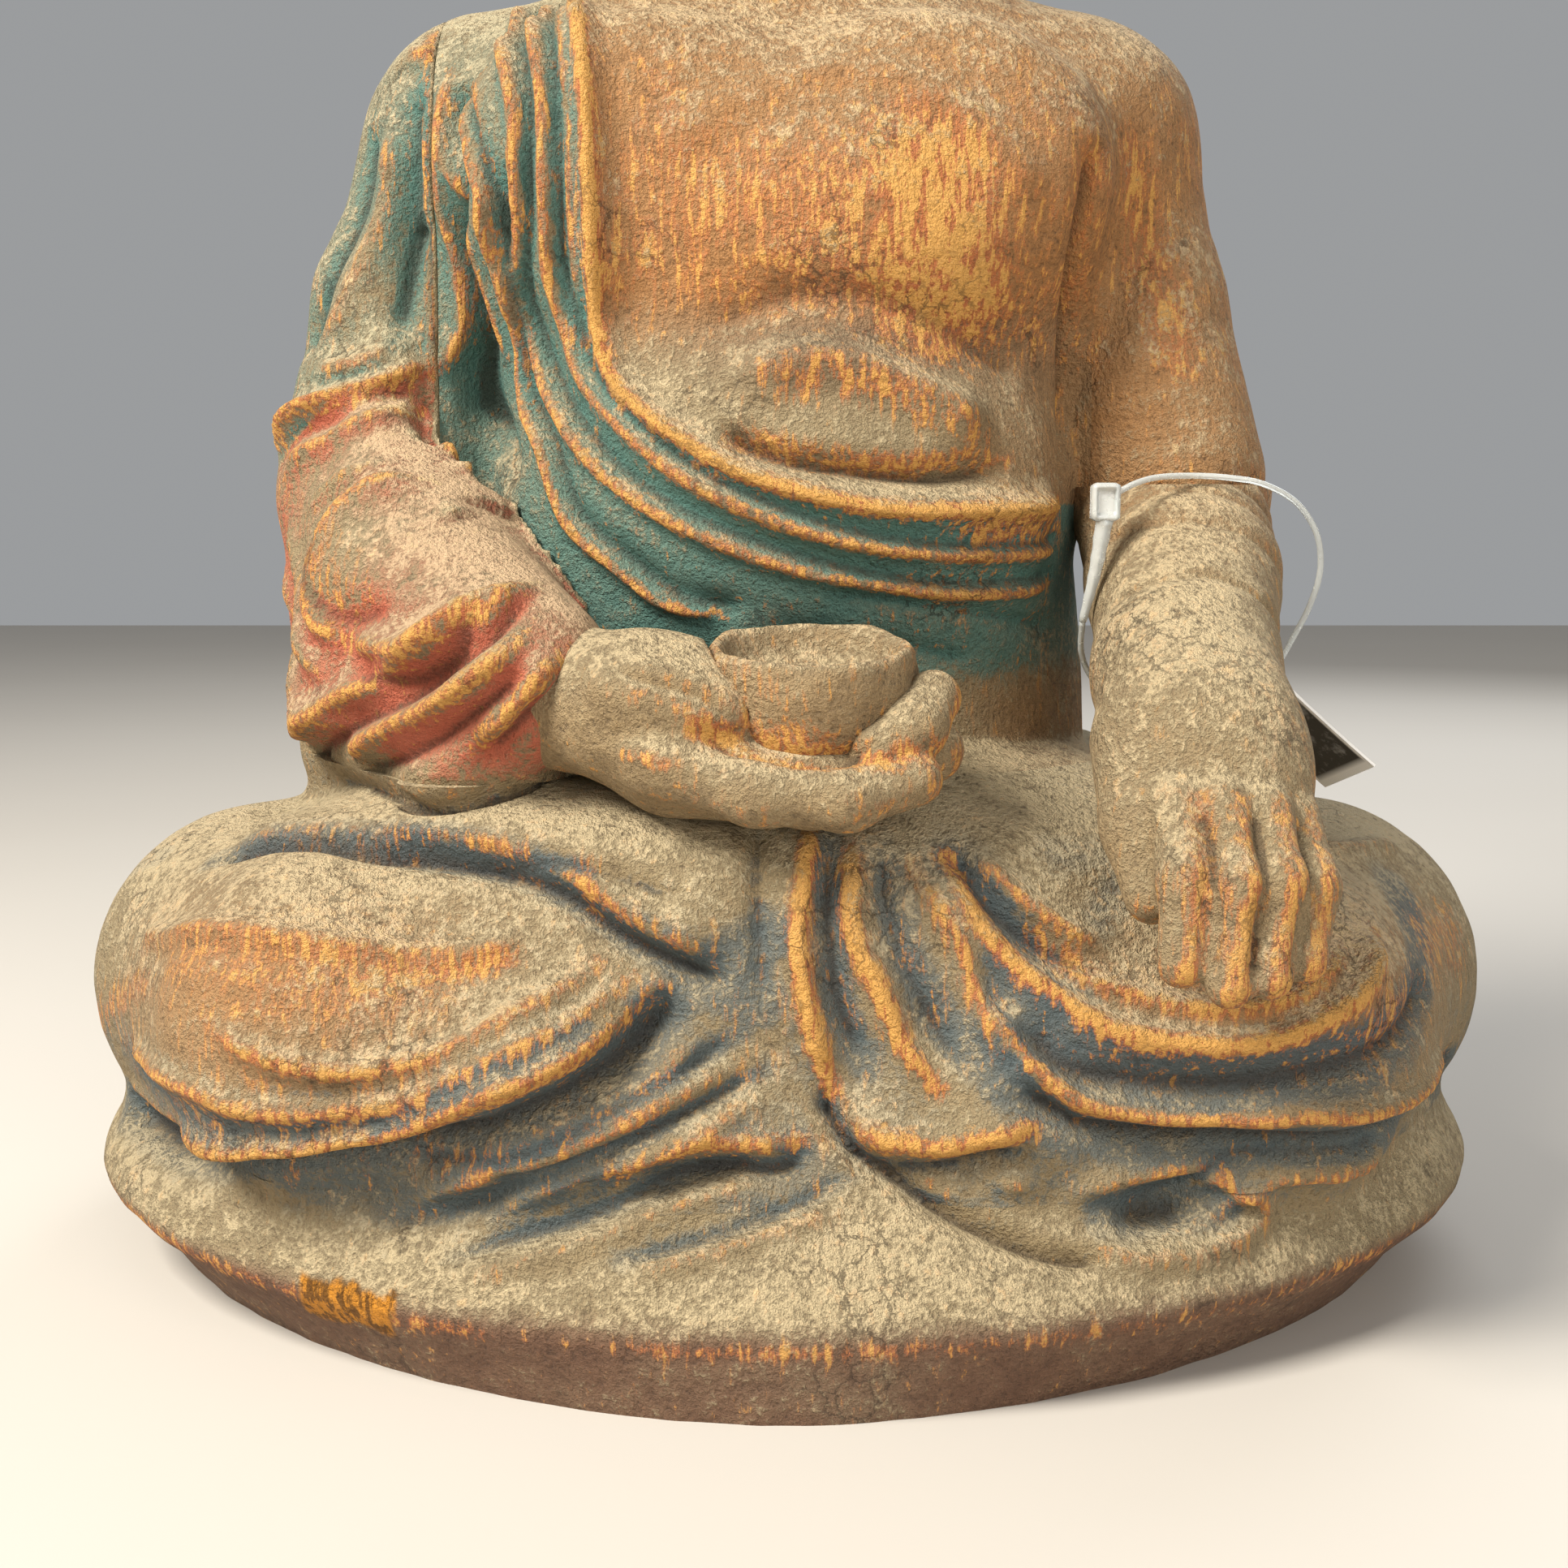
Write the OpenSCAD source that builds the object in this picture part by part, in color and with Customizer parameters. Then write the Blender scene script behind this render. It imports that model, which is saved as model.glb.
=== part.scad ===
// Seated buddha statue, carved in joined wood blocks.
// Millimetres. +Z is up, the figure faces -Y, and the origin is at the middle of the base's underside.

/* [Base and lap] */
// Width of the base board at its lip
base_w = 249; // [208:1:299]
// Depth of the base board at its lip
base_d = 189; // [158:1:226]
// Height of the base board, up to its joint with the lap block
base_h = 28; // [24:1:34]
// Height of the lip above the underside
lip_h = 13; // [10:1:16]
// Width across the knees
knee_w = 251; // [209:1:302]
// Depth of the crossed legs
legs_d = 168; // [140:1:200]
// Height of the lap block
lap_h = 60; // [50:1:72]

/* [Torso] */
// Height of the torso block, up to the neck joint
torso_h = 134; // [111:1:161]
// Depth of the chest
chest_d = 84; // [72:1:100]
// Width of the chest at the waist
waist_w = 104; // [90:1:124]
// Width over both shoulders
shoulder_w = 149; // [124:1:179]
// Joint plane of the sleeved right arm, from the middle
right_joint_x = 59; // [54:1:62]
// Joint plane of the bare left arm, from the middle
left_joint_x = 53; // [48:1:58]

/* [Arms and hands] */
// Radius of the arm at the shoulder
shoulder_r = 21; // [18:0.5:23]
// Radius of the bare arm at the elbow
elbow_r = 17; // [14:0.5:20.4]
// How much the sleeve adds to the radius at the elbow
sleeve_t = 2; // [1:0.5:4]
// Radius of the arm at the wrist
wrist_r = 13; // [11:0.5:15]
// Radius of a finger
finger_r = 3.3; // [2.8:0.1:3.9]
// Thickness of the hand that holds the bowl
palm_t = 13; // [11:0.5:15]

/* [Head] */
// Height of the head from the neck joint to the top of the topknot
head_h = 100; // [82:1:120]
// Width of the head
head_w = 62; // [52:1:74]
// Radius of the neck
neck_r = 17; // [15:0.5:19]
// Radius of the topknot
knot_r = 18; // [15:0.5:21.6]

/* [Bowl] */
// Radius of the alms bowl at its widest
bowl_r = 16; // [13:0.5:19.2]
// Height of the alms bowl
bowl_h = 18; // [15:0.5:22]
// Depth of the bowl's hollow
bowl_hollow = 7; // [5:0.5:9]
// Wall of the bowl at its rim
bowl_wall = 2.5; // [2:0.1:3.5]

/* [Back chamber] */
// Width of the chamber
chamber_w = 46; // [38:1:54]
// Height of the chamber
chamber_h = 64; // [54:1:76]
// Thickness of the cover over the chamber
cover_t = 8; // [6:0.5:9]
// Width of the step that the cover seats on
rebate = 4; // [3:0.5:5]
// Radius of the rolled sutra
scroll_r = 8; // [6.5:0.5:9]

/* [Pegs] */
// Radius of the block pegs
peg_r = 4; // [3.3:0.1:4.8]
// Depth that a peg goes into each block
peg_l = 12; // [10:0.5:14]
// Radius of the neck peg
neck_peg_r = 7; // [6:0.5:8.4]
// Radial clearance of a peg in its hole
peg_gap = 0.1; // [0.05:0.05:0.2]

/* [Shop tag] */
// Diameter of the tag's filament
cord_d = 1; // [0.8:0.1:1.2]
// Width of the card
card_w = 14; // [11:0.5:16]
// Length of the card
card_l = 26; // [21:1:30]
// Thickness of the card
card_t = 0.5; // [0.4:0.1:0.7]
// Radius of the hole that the filament runs through
card_hole_r = 2; // [1.6:0.1:2.4]

/* [Hidden] */

$fn = 48;
SIDES = 48;
LIMB_FN = 24;
BIG = 400;

z_lap = base_h;
z_torso = z_lap + lap_h;
z_neck = z_torso + torso_h;
z_crown = z_neck + head_h;

// ---- shapes that several parts share ----

function signed_power(x, p) = sign(x) * pow(abs(x), p);

// One ring of a skin: a superellipse of half-width a, half-depth b and exponent n, at [x, y, z]
function ring(at, a, b, n = 2) = [
    for (i = [0 : SIDES - 1]) let (t = 360 * i / SIDES)
        [at[0] + a * signed_power(cos(t), 2 / n), at[1] + b * signed_power(sin(t), 2 / n), at[2]]
];

// A closed skin through rings that rise one above the other
module skin(rings) {
    count = len(rings[0]);
    last = len(rings) - 1;
    sides = [
        for (i = [0 : last - 1]) for (j = [0 : count - 1])
            let (k = (j + 1) % count, low = i * count, high = low + count)
                each [[low + j, high + j, high + k], [low + j, high + k, low + k]]
    ];
    bottom = [for (j = [0 : count - 1]) j];
    top = [for (j = [count - 1 : -1 : 0]) last * count + j];
    polyhedron(points = [for (r = rings) each r], faces = concat(sides, [bottom, top]));
}

// A straight taper from a to b
module taper(a, r_a, b, r_b) {
    run = b - a;
    translate(a)
        rotate([0, acos(run[2] / norm(run)), atan2(run[1], run[0])])
            cylinder(r1 = r_a, r2 = r_b, h = norm(run));
}

// A limb from a to b, with a round end of its own radius at each
module limb(a, r_a, b, r_b) {
    hull() {
        translate(a) sphere(r = r_a, $fn = LIMB_FN);
        translate(b) sphere(r = r_b, $fn = LIMB_FN);
    }
}

// A round bar centred at [x, y, z] along a direction
module bar(at, along, r, l) {
    length = norm(along);
    translate(at)
        rotate([0, acos(along[2] / length), atan2(along[1], along[0])])
            cylinder(r = r, h = l, center = true);
}

function mix(a, b, t) = a + (b - a) * t;

// ---- the whole carved forms, before they are cut into blocks ----

module base_form() {
    skin([
        ring([0, 0, 0], base_w / 2 - 7.5, base_d / 2 - 2, 1.6),
        ring([0, 0, lip_h * 0.5], base_w / 2 - 2, base_d / 2 - 0.7, 1.75),
        ring([0, 0, lip_h], base_w / 2, base_d / 2, 1.92),
        ring([0, 0, mix(lip_h, base_h, 0.3)], base_w / 2 - 1.5, base_d / 2 - 3, 1.95),
        ring([0, 0, base_h], base_w / 2 - 6, base_d / 2 - 10.5, 2)
    ]);
}

module lap_form() {
    knee = knee_w / 2;
    deep = legs_d / 2;
    skin([
        ring([0, 0, z_lap], knee - 14, deep - 6, 2.2),
        ring([0, 0, z_lap + lap_h * 0.1], knee - 10, deep - 4, 2.2),
        ring([0, 0, z_lap + lap_h * 0.3], knee, deep, 2.3),
        ring([0, 0, z_lap + lap_h * 0.5], knee - 1, deep, 2.3),
        ring([0, 0, z_lap + lap_h * 0.72], knee - 9, deep - 6, 2.3),
        ring([0, 0, z_lap + lap_h * 0.81], knee - 19, deep - 11, 2.3),
        ring([0, 0, z_lap + lap_h * 0.89], knee - 33, deep - 17, 2.3),
        ring([0, 0, z_torso], knee - 57, deep - 26, 2.3)
    ]);
}

torso_y = 8;
armpit_share = 0.56;

module torso_form() {
    half = waist_w / 2;
    wide = shoulder_w / 2;
    deep = chest_d / 2;
    skin([
        ring([0, torso_y, z_torso], half + 6, deep + 2, 2.4),
        ring([0, torso_y, z_torso + torso_h * 0.22], half + 2, deep + 4, 2.4),
        ring([0, torso_y, z_torso + torso_h * 0.42], half + 1, deep + 2, 2.4),
        ring([0, torso_y, z_torso + torso_h * 0.6], half + 8, deep + 2, 2.5),
        ring([0, torso_y, z_torso + torso_h * 0.76], wide - 10, deep, 2.5),
        ring([0, torso_y, z_torso + torso_h * 0.88], wide - 4, deep - 6, 2.4),
        ring([0, torso_y, z_torso + torso_h * 0.95], wide - 13, deep - 12, 2.2),
        ring([0, torso_y, z_neck], neck_r + 10, neck_r + 5, 2)
    ]);
}

// ---- joint planes and the pegs that cross them ----

right_shoulder = [-shoulder_w / 2 + shoulder_r, torso_y, z_neck - shoulder_r - 6];
right_elbow = [-shoulder_w / 2 + 4, torso_y - 8, z_torso + 38];
right_wrist = [-36, -56, z_torso + 12];
left_shoulder = [shoulder_w / 2 - shoulder_r, torso_y, z_neck - shoulder_r - 6];
left_elbow = [shoulder_w / 2 - 6.5, torso_y - 14, z_torso + 46];
left_wrist = [62, -60, z_torso + 14];
left_knuckles = [65, -77, z_torso + 1];

forearm_run = left_wrist - left_elbow;
wrist_cut_share = 0.94;
wrist_cut = mix(left_elbow, left_wrist, wrist_cut_share);

// Everything on the far side of a plane, away from its normal
module behind_plane(at, normal) {
    length = norm(normal);
    translate(at)
        rotate([0, acos(normal[2] / length), atan2(normal[1], normal[0])])
            translate([-BIG / 2, -BIG / 2, -BIG]) cube(BIG);
}

module torso_slab() {
    translate([-right_joint_x, -BIG / 2, z_torso]) cube([right_joint_x + left_joint_x, BIG, BIG]);
}

module right_side() {
    translate([-right_joint_x - BIG, -BIG / 2, 0]) cube(BIG);
}

module left_side() {
    translate([left_joint_x, -BIG / 2, 0]) cube(BIG);
}

module below(z) {
    translate([-BIG / 2, -BIG / 2, z - BIG]) cube(BIG);
}

module above(z) {
    translate([-BIG / 2, -BIG / 2, z]) cube(BIG);
}

// What the torso's form gives to an arm's block: all above the armpit
module shoulder_form() {
    intersection() {
        torso_form();
        above(z_torso + torso_h * armpit_share);
    }
}

base_peg_at = [for (x = [-1, 1]) for (y = [-1, 1]) [x * knee_w * 0.24, y * legs_d * 0.24, z_lap]];
torso_peg_at = [for (x = [-1, 1]) [x * waist_w * 0.27, torso_y + 4, z_torso]];
right_peg_at = [for (z = [0.66, 0.8]) [-right_joint_x, torso_y, z_torso + torso_h * z]];
left_peg_at = [for (z = [0.66, 0.8]) [left_joint_x, torso_y, z_torso + torso_h * z]];
neck_peg_at = [0, torso_y, z_neck];
UP = [0, 0, 1];
ACROSS = [1, 0, 0];

module pegs(places, along, r = peg_r) {
    for (at = places) bar(at, along, r, 2 * peg_l);
}

module peg_holes(places, along, r = peg_r) {
    for (at = places) bar(at, along, r + peg_gap, 2 * peg_l + 1);
}

module arm_pegs_at(r, l) {
    bar(left_elbow, UP, r, l);
    bar(wrist_cut, forearm_run, r, l);
}

// ---- base and lap ----

module base_board() {
    color("rosybrown")
        difference() {
            base_form();
            peg_holes(base_peg_at, UP);
        }
}

module lap_block() {
    color("slategray")
        difference() {
            lap_form();
            peg_holes(base_peg_at, UP);
            peg_holes(torso_peg_at, UP);
        }
}

// ---- torso with its chamber ----

chamber_z = z_torso + torso_h * 0.2;
back_y = torso_y + chest_d / 2 + 2;
chamber_d = chest_d * 0.55;

module chamber_space() {
    translate([-chamber_w / 2, back_y - chamber_d, chamber_z]) cube([chamber_w, BIG, chamber_h]);
}

// The wider step around the chamber's mouth, smaller by gap all round for the cover itself
module cover_space(gap = 0) {
    translate([-chamber_w / 2 - rebate + gap, back_y - cover_t, chamber_z - rebate + gap])
        cube([chamber_w + 2 * (rebate - gap), BIG, chamber_h + 2 * (rebate - gap)]);
}

module torso() {
    color("peru")
        difference() {
            intersection() {
                torso_form();
                torso_slab();
            }
            chamber_space();
            cover_space();
            peg_holes(torso_peg_at, UP);
            peg_holes(right_peg_at, ACROSS);
            peg_holes(left_peg_at, ACROSS);
            peg_holes([neck_peg_at], UP, neck_peg_r);
        }
}

cover_gap = 0.4;

module back_cover() {
    color("sienna")
        intersection() {
            torso_form();
            cover_space(cover_gap);
        }
}

scroll_at = [0, back_y - chamber_d + scroll_r + 6, chamber_z + 0.2];
scroll_l = chamber_h - 6;

module sutra_scroll() {
    color("wheat") translate(scroll_at) cylinder(r = scroll_r, h = scroll_l);
}

tie_t = 1.2;

module scroll_tie() {
    color("firebrick")
        translate(scroll_at + [0, 0, scroll_l / 2])
            difference() {
                cylinder(r = scroll_r + tie_t, h = 2 * tie_t, center = true);
                cylinder(r = scroll_r + 0.02, h = 3 * tie_t, center = true);
            }
}

// ---- head ----

module head() {
    half = head_w / 2;
    face = [0, torso_y - 5, z_neck];
    color("burlywood")
        difference() {
            union() {
                skin([
                    ring([0, torso_y, z_neck], neck_r, neck_r),
                    ring([0, torso_y - 1, z_neck + head_h * 0.14], neck_r - 1, neck_r - 1),
                    ring(face + [0, 0, head_h * 0.16], half * 0.6, half * 0.8, 2.1),
                    ring(face + [0, 0, head_h * 0.3], half * 0.88, half, 2.2),
                    ring(face + [0, 0, head_h * 0.45], half * 0.98, half * 1.1, 2.2),
                    ring(face + [0, 0, head_h * 0.62], half, half * 1.12, 2.2),
                    ring(face + [0, 0, head_h * 0.75], half * 0.92, half * 1.02, 2.2),
                    ring(face + [0, 0, head_h * 0.84], half * 0.72, half * 0.82, 2.1),
                    ring(face + [0, 2, head_h * 0.87], knot_r, knot_r),
                    ring(face + [0, 2, head_h * 0.94], knot_r * 0.9, knot_r * 0.9),
                    ring(face + [0, 2, head_h], knot_r * 0.45, knot_r * 0.45)
                ]);
                for (side = [-1, 1])
                    limb(
                        face + [side * half, 6, head_h * 0.56], 4.5,
                        face + [side * (half - 2), 5, head_h * 0.24], 4
                    );
            }
            peg_holes([neck_peg_at], UP, neck_peg_r);
        }
}

// ---- the sleeved right arm, with the hand that holds the bowl ----

bowl_at = [4, -64, z_torso + 4];

sleeve_elbow_r = elbow_r + sleeve_t;

// The upper arm, and the forearm with the sleeve that hangs from it onto the lap
module right_arm_form() {
    limb(right_shoulder, shoulder_r, right_elbow, sleeve_elbow_r);
    hull() {
        translate(right_elbow) sphere(r = sleeve_elbow_r, $fn = LIMB_FN);
        translate(right_wrist) sphere(r = wrist_r, $fn = LIMB_FN);
        translate([right_elbow[0] + 4, right_elbow[1], z_torso - 4]) sphere(r = elbow_r, $fn = LIMB_FN);
    }
}

sleeve_end_x = right_wrist[0] + 6;

module right_sleeve() {
    color("indianred")
        difference() {
            union() {
                right_arm_form();
                intersection() {
                    shoulder_form();
                    right_side();
                }
            }
            intersection() {
                torso_form();
                torso_slab();
            }
            lap_form();
            translate([sleeve_end_x, -BIG / 2, 0]) cube(BIG);
            peg_holes(right_peg_at, ACROSS);
        }
}

module bowl_solid(grow = 0) {
    translate(bowl_at)
        rotate_extrude()
            polygon([
                [0, -grow], [bowl_r * 0.62 + grow, -grow], [bowl_r * 0.9 + grow, bowl_h * 0.35],
                [bowl_r + grow, bowl_h * 0.7], [bowl_r * 0.95 + grow, bowl_h], [0, bowl_h]
            ]);
}

module alms_bowl() {
    color("tan")
        difference() {
            bowl_solid();
            translate(bowl_at + [0, 0, bowl_h - bowl_hollow])
                cylinder(r1 = bowl_r * 0.7 - bowl_wall, r2 = bowl_r * 0.95 - bowl_wall, h = bowl_hollow + 0.01);
            peg_holes([bowl_at], UP, peg_r / 2);
        }
}

palm_low = bowl_at + [-bowl_r, -2, -palm_t * 0.12];
fingers_low = bowl_at + [bowl_r, -2, -palm_t * 0.2];

module right_hand() {
    color("goldenrod")
        difference() {
            hull() {
                translate([sleeve_end_x, right_wrist[1], right_wrist[2] - 2]) sphere(r = wrist_r - 1, $fn = LIMB_FN);
                translate(palm_low) sphere(r = palm_t, $fn = LIMB_FN);
                translate(fingers_low) sphere(r = palm_t * 0.7, $fn = LIMB_FN);
            }
            translate([sleeve_end_x - BIG, -BIG / 2, 0]) cube(BIG);
            bowl_solid();
            torso_form();
            lap_form();
            peg_holes([bowl_at], UP, peg_r / 2);
        }
}

// ---- the bare left arm, with the hand over the knee ----

module left_arm_form() {
    limb(left_shoulder, shoulder_r, left_elbow, elbow_r);
    limb(left_elbow, elbow_r, left_wrist, wrist_r);
}

module left_upper_arm() {
    color("chocolate")
        difference() {
            intersection() {
                union() {
                    left_arm_form();
                    shoulder_form();
                }
                left_side();
            }
            below(left_elbow[2]);
            arm_pegs_at(peg_r + peg_gap, 2 * peg_l + 1);
            peg_holes(left_peg_at, ACROSS);
        }
}

module left_forearm() {
    color("darkkhaki")
        difference() {
            left_arm_form();
            above(left_elbow[2]);
            behind_plane(wrist_cut, -forearm_run);
            torso_form();
            lap_form();
            arm_pegs_at(peg_r + peg_gap, 2 * peg_l + 1);
        }
}

// How far the fingertips lie from the knuckles
finger_runs = [[-10.6, -13.5, -22], [-4.8, -14, -24.5], [0.8, -13.5, -24], [7, -11, -23]];
finger_pitch = finger_r * 1.9;

module left_hand() {
    color("khaki")
        difference() {
            union() {
                hull() {
                    translate(left_wrist) sphere(r = wrist_r, $fn = LIMB_FN);
                    for (x = [-9, 9]) translate(left_knuckles + [x, 2, 0]) sphere(r = wrist_r - 5, $fn = LIMB_FN);
                }
                for (i = [0 : 3])
                    limb(
                        left_knuckles + [(i - 1.5) * finger_pitch, -1, 0], finger_r + 1.5,
                        left_knuckles + finger_runs[i], finger_r
                    );
            }
            behind_plane(wrist_cut, forearm_run);
            lap_form();
            arm_pegs_at(peg_r + peg_gap, 2 * peg_l + 1);
        }
}

// ---- pegs ----

module base_pegs() {
    color("saddlebrown") pegs(base_peg_at, UP);
}

module torso_pegs() {
    color("saddlebrown") pegs(torso_peg_at, UP);
}

module shoulder_pegs() {
    color("saddlebrown") {
        pegs(right_peg_at, ACROSS);
        pegs(left_peg_at, ACROSS);
    }
}

module arm_pegs() {
    color("saddlebrown") arm_pegs_at(peg_r, 2 * peg_l);
}

module neck_peg() {
    color("saddlebrown") pegs([neck_peg_at], UP, neck_peg_r);
}

module bowl_peg() {
    color("saddlebrown") bar(bowl_at, UP, peg_r / 2, peg_l);
}

// ---- shop tag: a filament looped over the left forearm, locked on itself, with a card on it ----

// The filament's route: from the lock's stem down behind the forearm, round it and over its top
tag_route = [
    [48, -42, 112], [48.5, -38, 107], [51, -33, 102.5], [55, -29, 99.5], [60, -26.5, 97.5],
    [66, -25, 96.5], [72, -24, 96.5], [77, -24, 97.5], [80.5, -24, 99.5], [83.5, -24.5, 103],
    [86, -25.5, 108], [88.5, -27, 114], [89.5, -29, 120], [88, -31.5, 126], [84, -33.5, 131],
    [78, -35.5, 134], [72, -36.5, 135], [66, -37.5, 135.3], [60, -40, 135], [56, -42.5, 134],
    [52.8, -44.5, 132.5]
];
tag_sides = 8;
tag_steps = 3;

// A point of the smooth curve through the route, at a share t of the way from point i to the next
function on_route(path, i, t) =
    let (
        last = len(path) - 1,
        a = path[max(i - 1, 0)],
        b = path[i],
        c = path[min(i + 1, last)],
        d = path[min(i + 2, last)]
    )
        0.5 * (2 * b + (c - a) * t + (2 * a - 5 * b + 4 * c - d) * t * t + (3 * b - a - 3 * c + d) * t * t * t);

function smooth(path, steps) = [
    for (i = [0 : len(path) - 2]) for (k = [0 : steps - 1]) on_route(path, i, k / steps),
    path[len(path) - 1]
];

function unit(v) = v / norm(v);

// A ring of points round each point of the path, square to the way that the path runs there
function tube_rings(path, r, sides) = [
    for (i = [0 : len(path) - 1])
        let (
            way = unit(path[min(i + 1, len(path) - 1)] - path[max(i - 1, 0)]),
            out = unit(cross(way, [0, 1, 0.3])),
            up = cross(out, way)
        )
            [for (j = [0 : sides - 1]) path[i] + r * (cos(360 * j / sides) * out + sin(360 * j / sides) * up)]
];

module tag_loop() {
    color("whitesmoke") skin(tube_rings(smooth(tag_route, tag_steps), cord_d / 2, tag_sides));
}

lock_at = [50.8, -44.8, 131];
lock_size = [4.6, 3.6, 6];

module tag_lock() {
    color("gainsboro") {
        difference() {
            translate(lock_at) cube(lock_size, center = true);
            translate(lock_at + [0, -lock_size[1] / 2, 0.6])
                cube([lock_size[0] - 1.6, 1, lock_size[2] - 2.4], center = true);
        }
        taper(lock_at - [0, 0, lock_size[2] / 2], 1.4, tag_route[0], cord_d * 0.6);
    }
}

card_at = tag_route[8];
card_dive = 43;
card_roll = -30;
hole_inset = 1.75 * card_hole_r;

module price_tag() {
    color("dimgray")
        translate(card_at)
            rotate([0, card_dive, 0])
                rotate([card_roll, 0, 0])
                    difference() {
                        translate([-hole_inset, -card_w / 2, -card_t / 2]) cube([card_l, card_w, card_t]);
                        cylinder(r = card_hole_r, h = 3 * card_t, center = true);
                    }
}

base_board();
lap_block();
torso();
back_cover();
head();
right_sleeve();
right_hand();
alms_bowl();
left_upper_arm();
left_forearm();
left_hand();
base_pegs();
torso_pegs();
shoulder_pegs();
arm_pegs();
neck_peg();
bowl_peg();
sutra_scroll();
scroll_tie();
tag_loop();
tag_lock();
price_tag();
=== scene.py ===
import math

import bmesh
import bpy
import numpy as np
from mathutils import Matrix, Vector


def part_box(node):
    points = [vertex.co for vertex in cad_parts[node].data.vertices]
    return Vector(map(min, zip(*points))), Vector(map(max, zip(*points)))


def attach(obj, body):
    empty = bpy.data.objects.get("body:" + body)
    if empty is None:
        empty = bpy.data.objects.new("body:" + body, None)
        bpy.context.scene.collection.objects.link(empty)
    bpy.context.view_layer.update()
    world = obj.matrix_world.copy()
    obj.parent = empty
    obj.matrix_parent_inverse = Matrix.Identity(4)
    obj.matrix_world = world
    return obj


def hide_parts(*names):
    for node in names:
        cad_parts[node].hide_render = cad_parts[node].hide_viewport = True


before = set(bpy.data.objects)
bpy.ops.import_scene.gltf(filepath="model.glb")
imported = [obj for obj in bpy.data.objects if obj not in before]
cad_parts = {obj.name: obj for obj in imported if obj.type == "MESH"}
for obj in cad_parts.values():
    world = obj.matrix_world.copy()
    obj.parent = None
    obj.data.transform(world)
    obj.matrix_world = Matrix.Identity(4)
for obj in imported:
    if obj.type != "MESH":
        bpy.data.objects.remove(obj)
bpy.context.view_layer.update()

import openvdb
from mathutils import Matrix, Vector

bl_info = {
    "name": "Carved seated figure",
    "version": (1, 0, 0),
    "blender": (4, 5, 0),
    "location": "3D View > Sidebar > Figure",
    "description": "Carves, paints and stages a wooden seated figure made of joined blocks",
    "category": "Object",
}

# ---------------------------------------------------------------------------
# Measures. Sculpting is done in millimetres in the frame of the CAD parts,
# and a mesh is turned to metres when it is made.
# ---------------------------------------------------------------------------

MM = 0.001


def node_box(name):
    """The lowest and highest corner of a CAD node, in millimetres."""
    low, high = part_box(name)
    return np.array(low) / MM, np.array(high) / MM


BASE_TOP = node_box("base_board")[1][2]
LAP_TOP = node_box("lap_block")[1][2]
NECK = node_box("torso")[1][2]
CROWN = node_box("head")[1][2]
RIGHT_JOINT = node_box("torso")[0][0]
LEFT_JOINT = node_box("torso")[1][0]
ELBOW = node_box("left_upper_arm")[0][2]


def step_of(step):
    return step * 1.0


# ---------------------------------------------------------------------------
# Smooth lines
# ---------------------------------------------------------------------------


def smooth_line(points, spacing=1.0):
    """The Catmull-Rom curve through the points, sampled at an even spacing."""
    points = np.asarray(points, float)
    if len(points) == 2:
        count = max(2, int(np.linalg.norm(points[1] - points[0]) / spacing) + 1)
        return points[0] + (points[1] - points[0]) * np.linspace(0, 1, count)[:, None]
    padded = np.vstack([2 * points[0] - points[1], points, 2 * points[-1] - points[-2]])
    t = np.linspace(0, 1, 24, endpoint=False)[:, None]
    spans = []
    for a, b, c, d in zip(padded[:-3], padded[1:-2], padded[2:-1], padded[3:]):
        spans.append(
            0.5 * (
                2 * b + (c - a) * t + (2 * a - 5 * b + 4 * c - d) * t**2 + (3 * b - a - 3 * c + d) * t**3
            )
        )
    dense = np.vstack(spans + [points[-1:]])
    run = np.concatenate([[0], np.cumsum(np.linalg.norm(np.diff(dense, axis=0), axis=1))])
    even = np.linspace(0, run[-1], max(2, int(run[-1] / spacing) + 1))
    return np.stack([np.interp(even, run, dense[:, k]) for k in range(dense.shape[1])], axis=1)


def ramp(value, low, high):
    """0 below low, 1 above high, and an S-curve between them."""
    t = np.clip((value - low) / (high - low), 0, 1)
    return t * t * (3 - 2 * t)


# ---------------------------------------------------------------------------
# Clay: forms as distances to their skin, negative inside, joined with soft fillets
# ---------------------------------------------------------------------------


class Form:
    """A form's box in mm, its distance function of x, y and z, and how softly it joins the rest."""

    def __init__(self, low, high, distance, fillet=0.0, cut=False):
        self.low = np.asarray(low, float)
        self.high = np.asarray(high, float)
        self.distance = distance
        self.fillet = fillet
        self.cut = cut


def egg(centre, radii, turn=(0, 0, 0), fillet=4.0, cut=False):
    """An ellipsoid: |p / r| is 1 on its skin; turned by degrees about x, y and z."""
    centre = np.asarray(centre, float)
    radii = np.asarray(radii, float)
    about_x, about_y, about_z = (Matrix.Rotation(math.radians(a), 3, k) for a, k in zip(turn, "XYZ"))
    spin = np.array(about_z @ about_y @ about_x)

    def distance(x, y, z):
        x, y, z = x - centre[0], y - centre[1], z - centre[2]
        local = [spin[0, k] * x + spin[1, k] * y + spin[2, k] * z for k in range(3)]
        near = np.sqrt(sum((local[k] / radii[k]) ** 2 for k in range(3))) + 1e-9
        slope = np.sqrt(sum((local[k] / radii[k] ** 2) ** 2 for k in range(3))) + 1e-9
        return near * (near - 1) / slope

    reach = radii.max()
    return Form(centre - reach, centre + reach, distance, fillet, cut)


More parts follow.
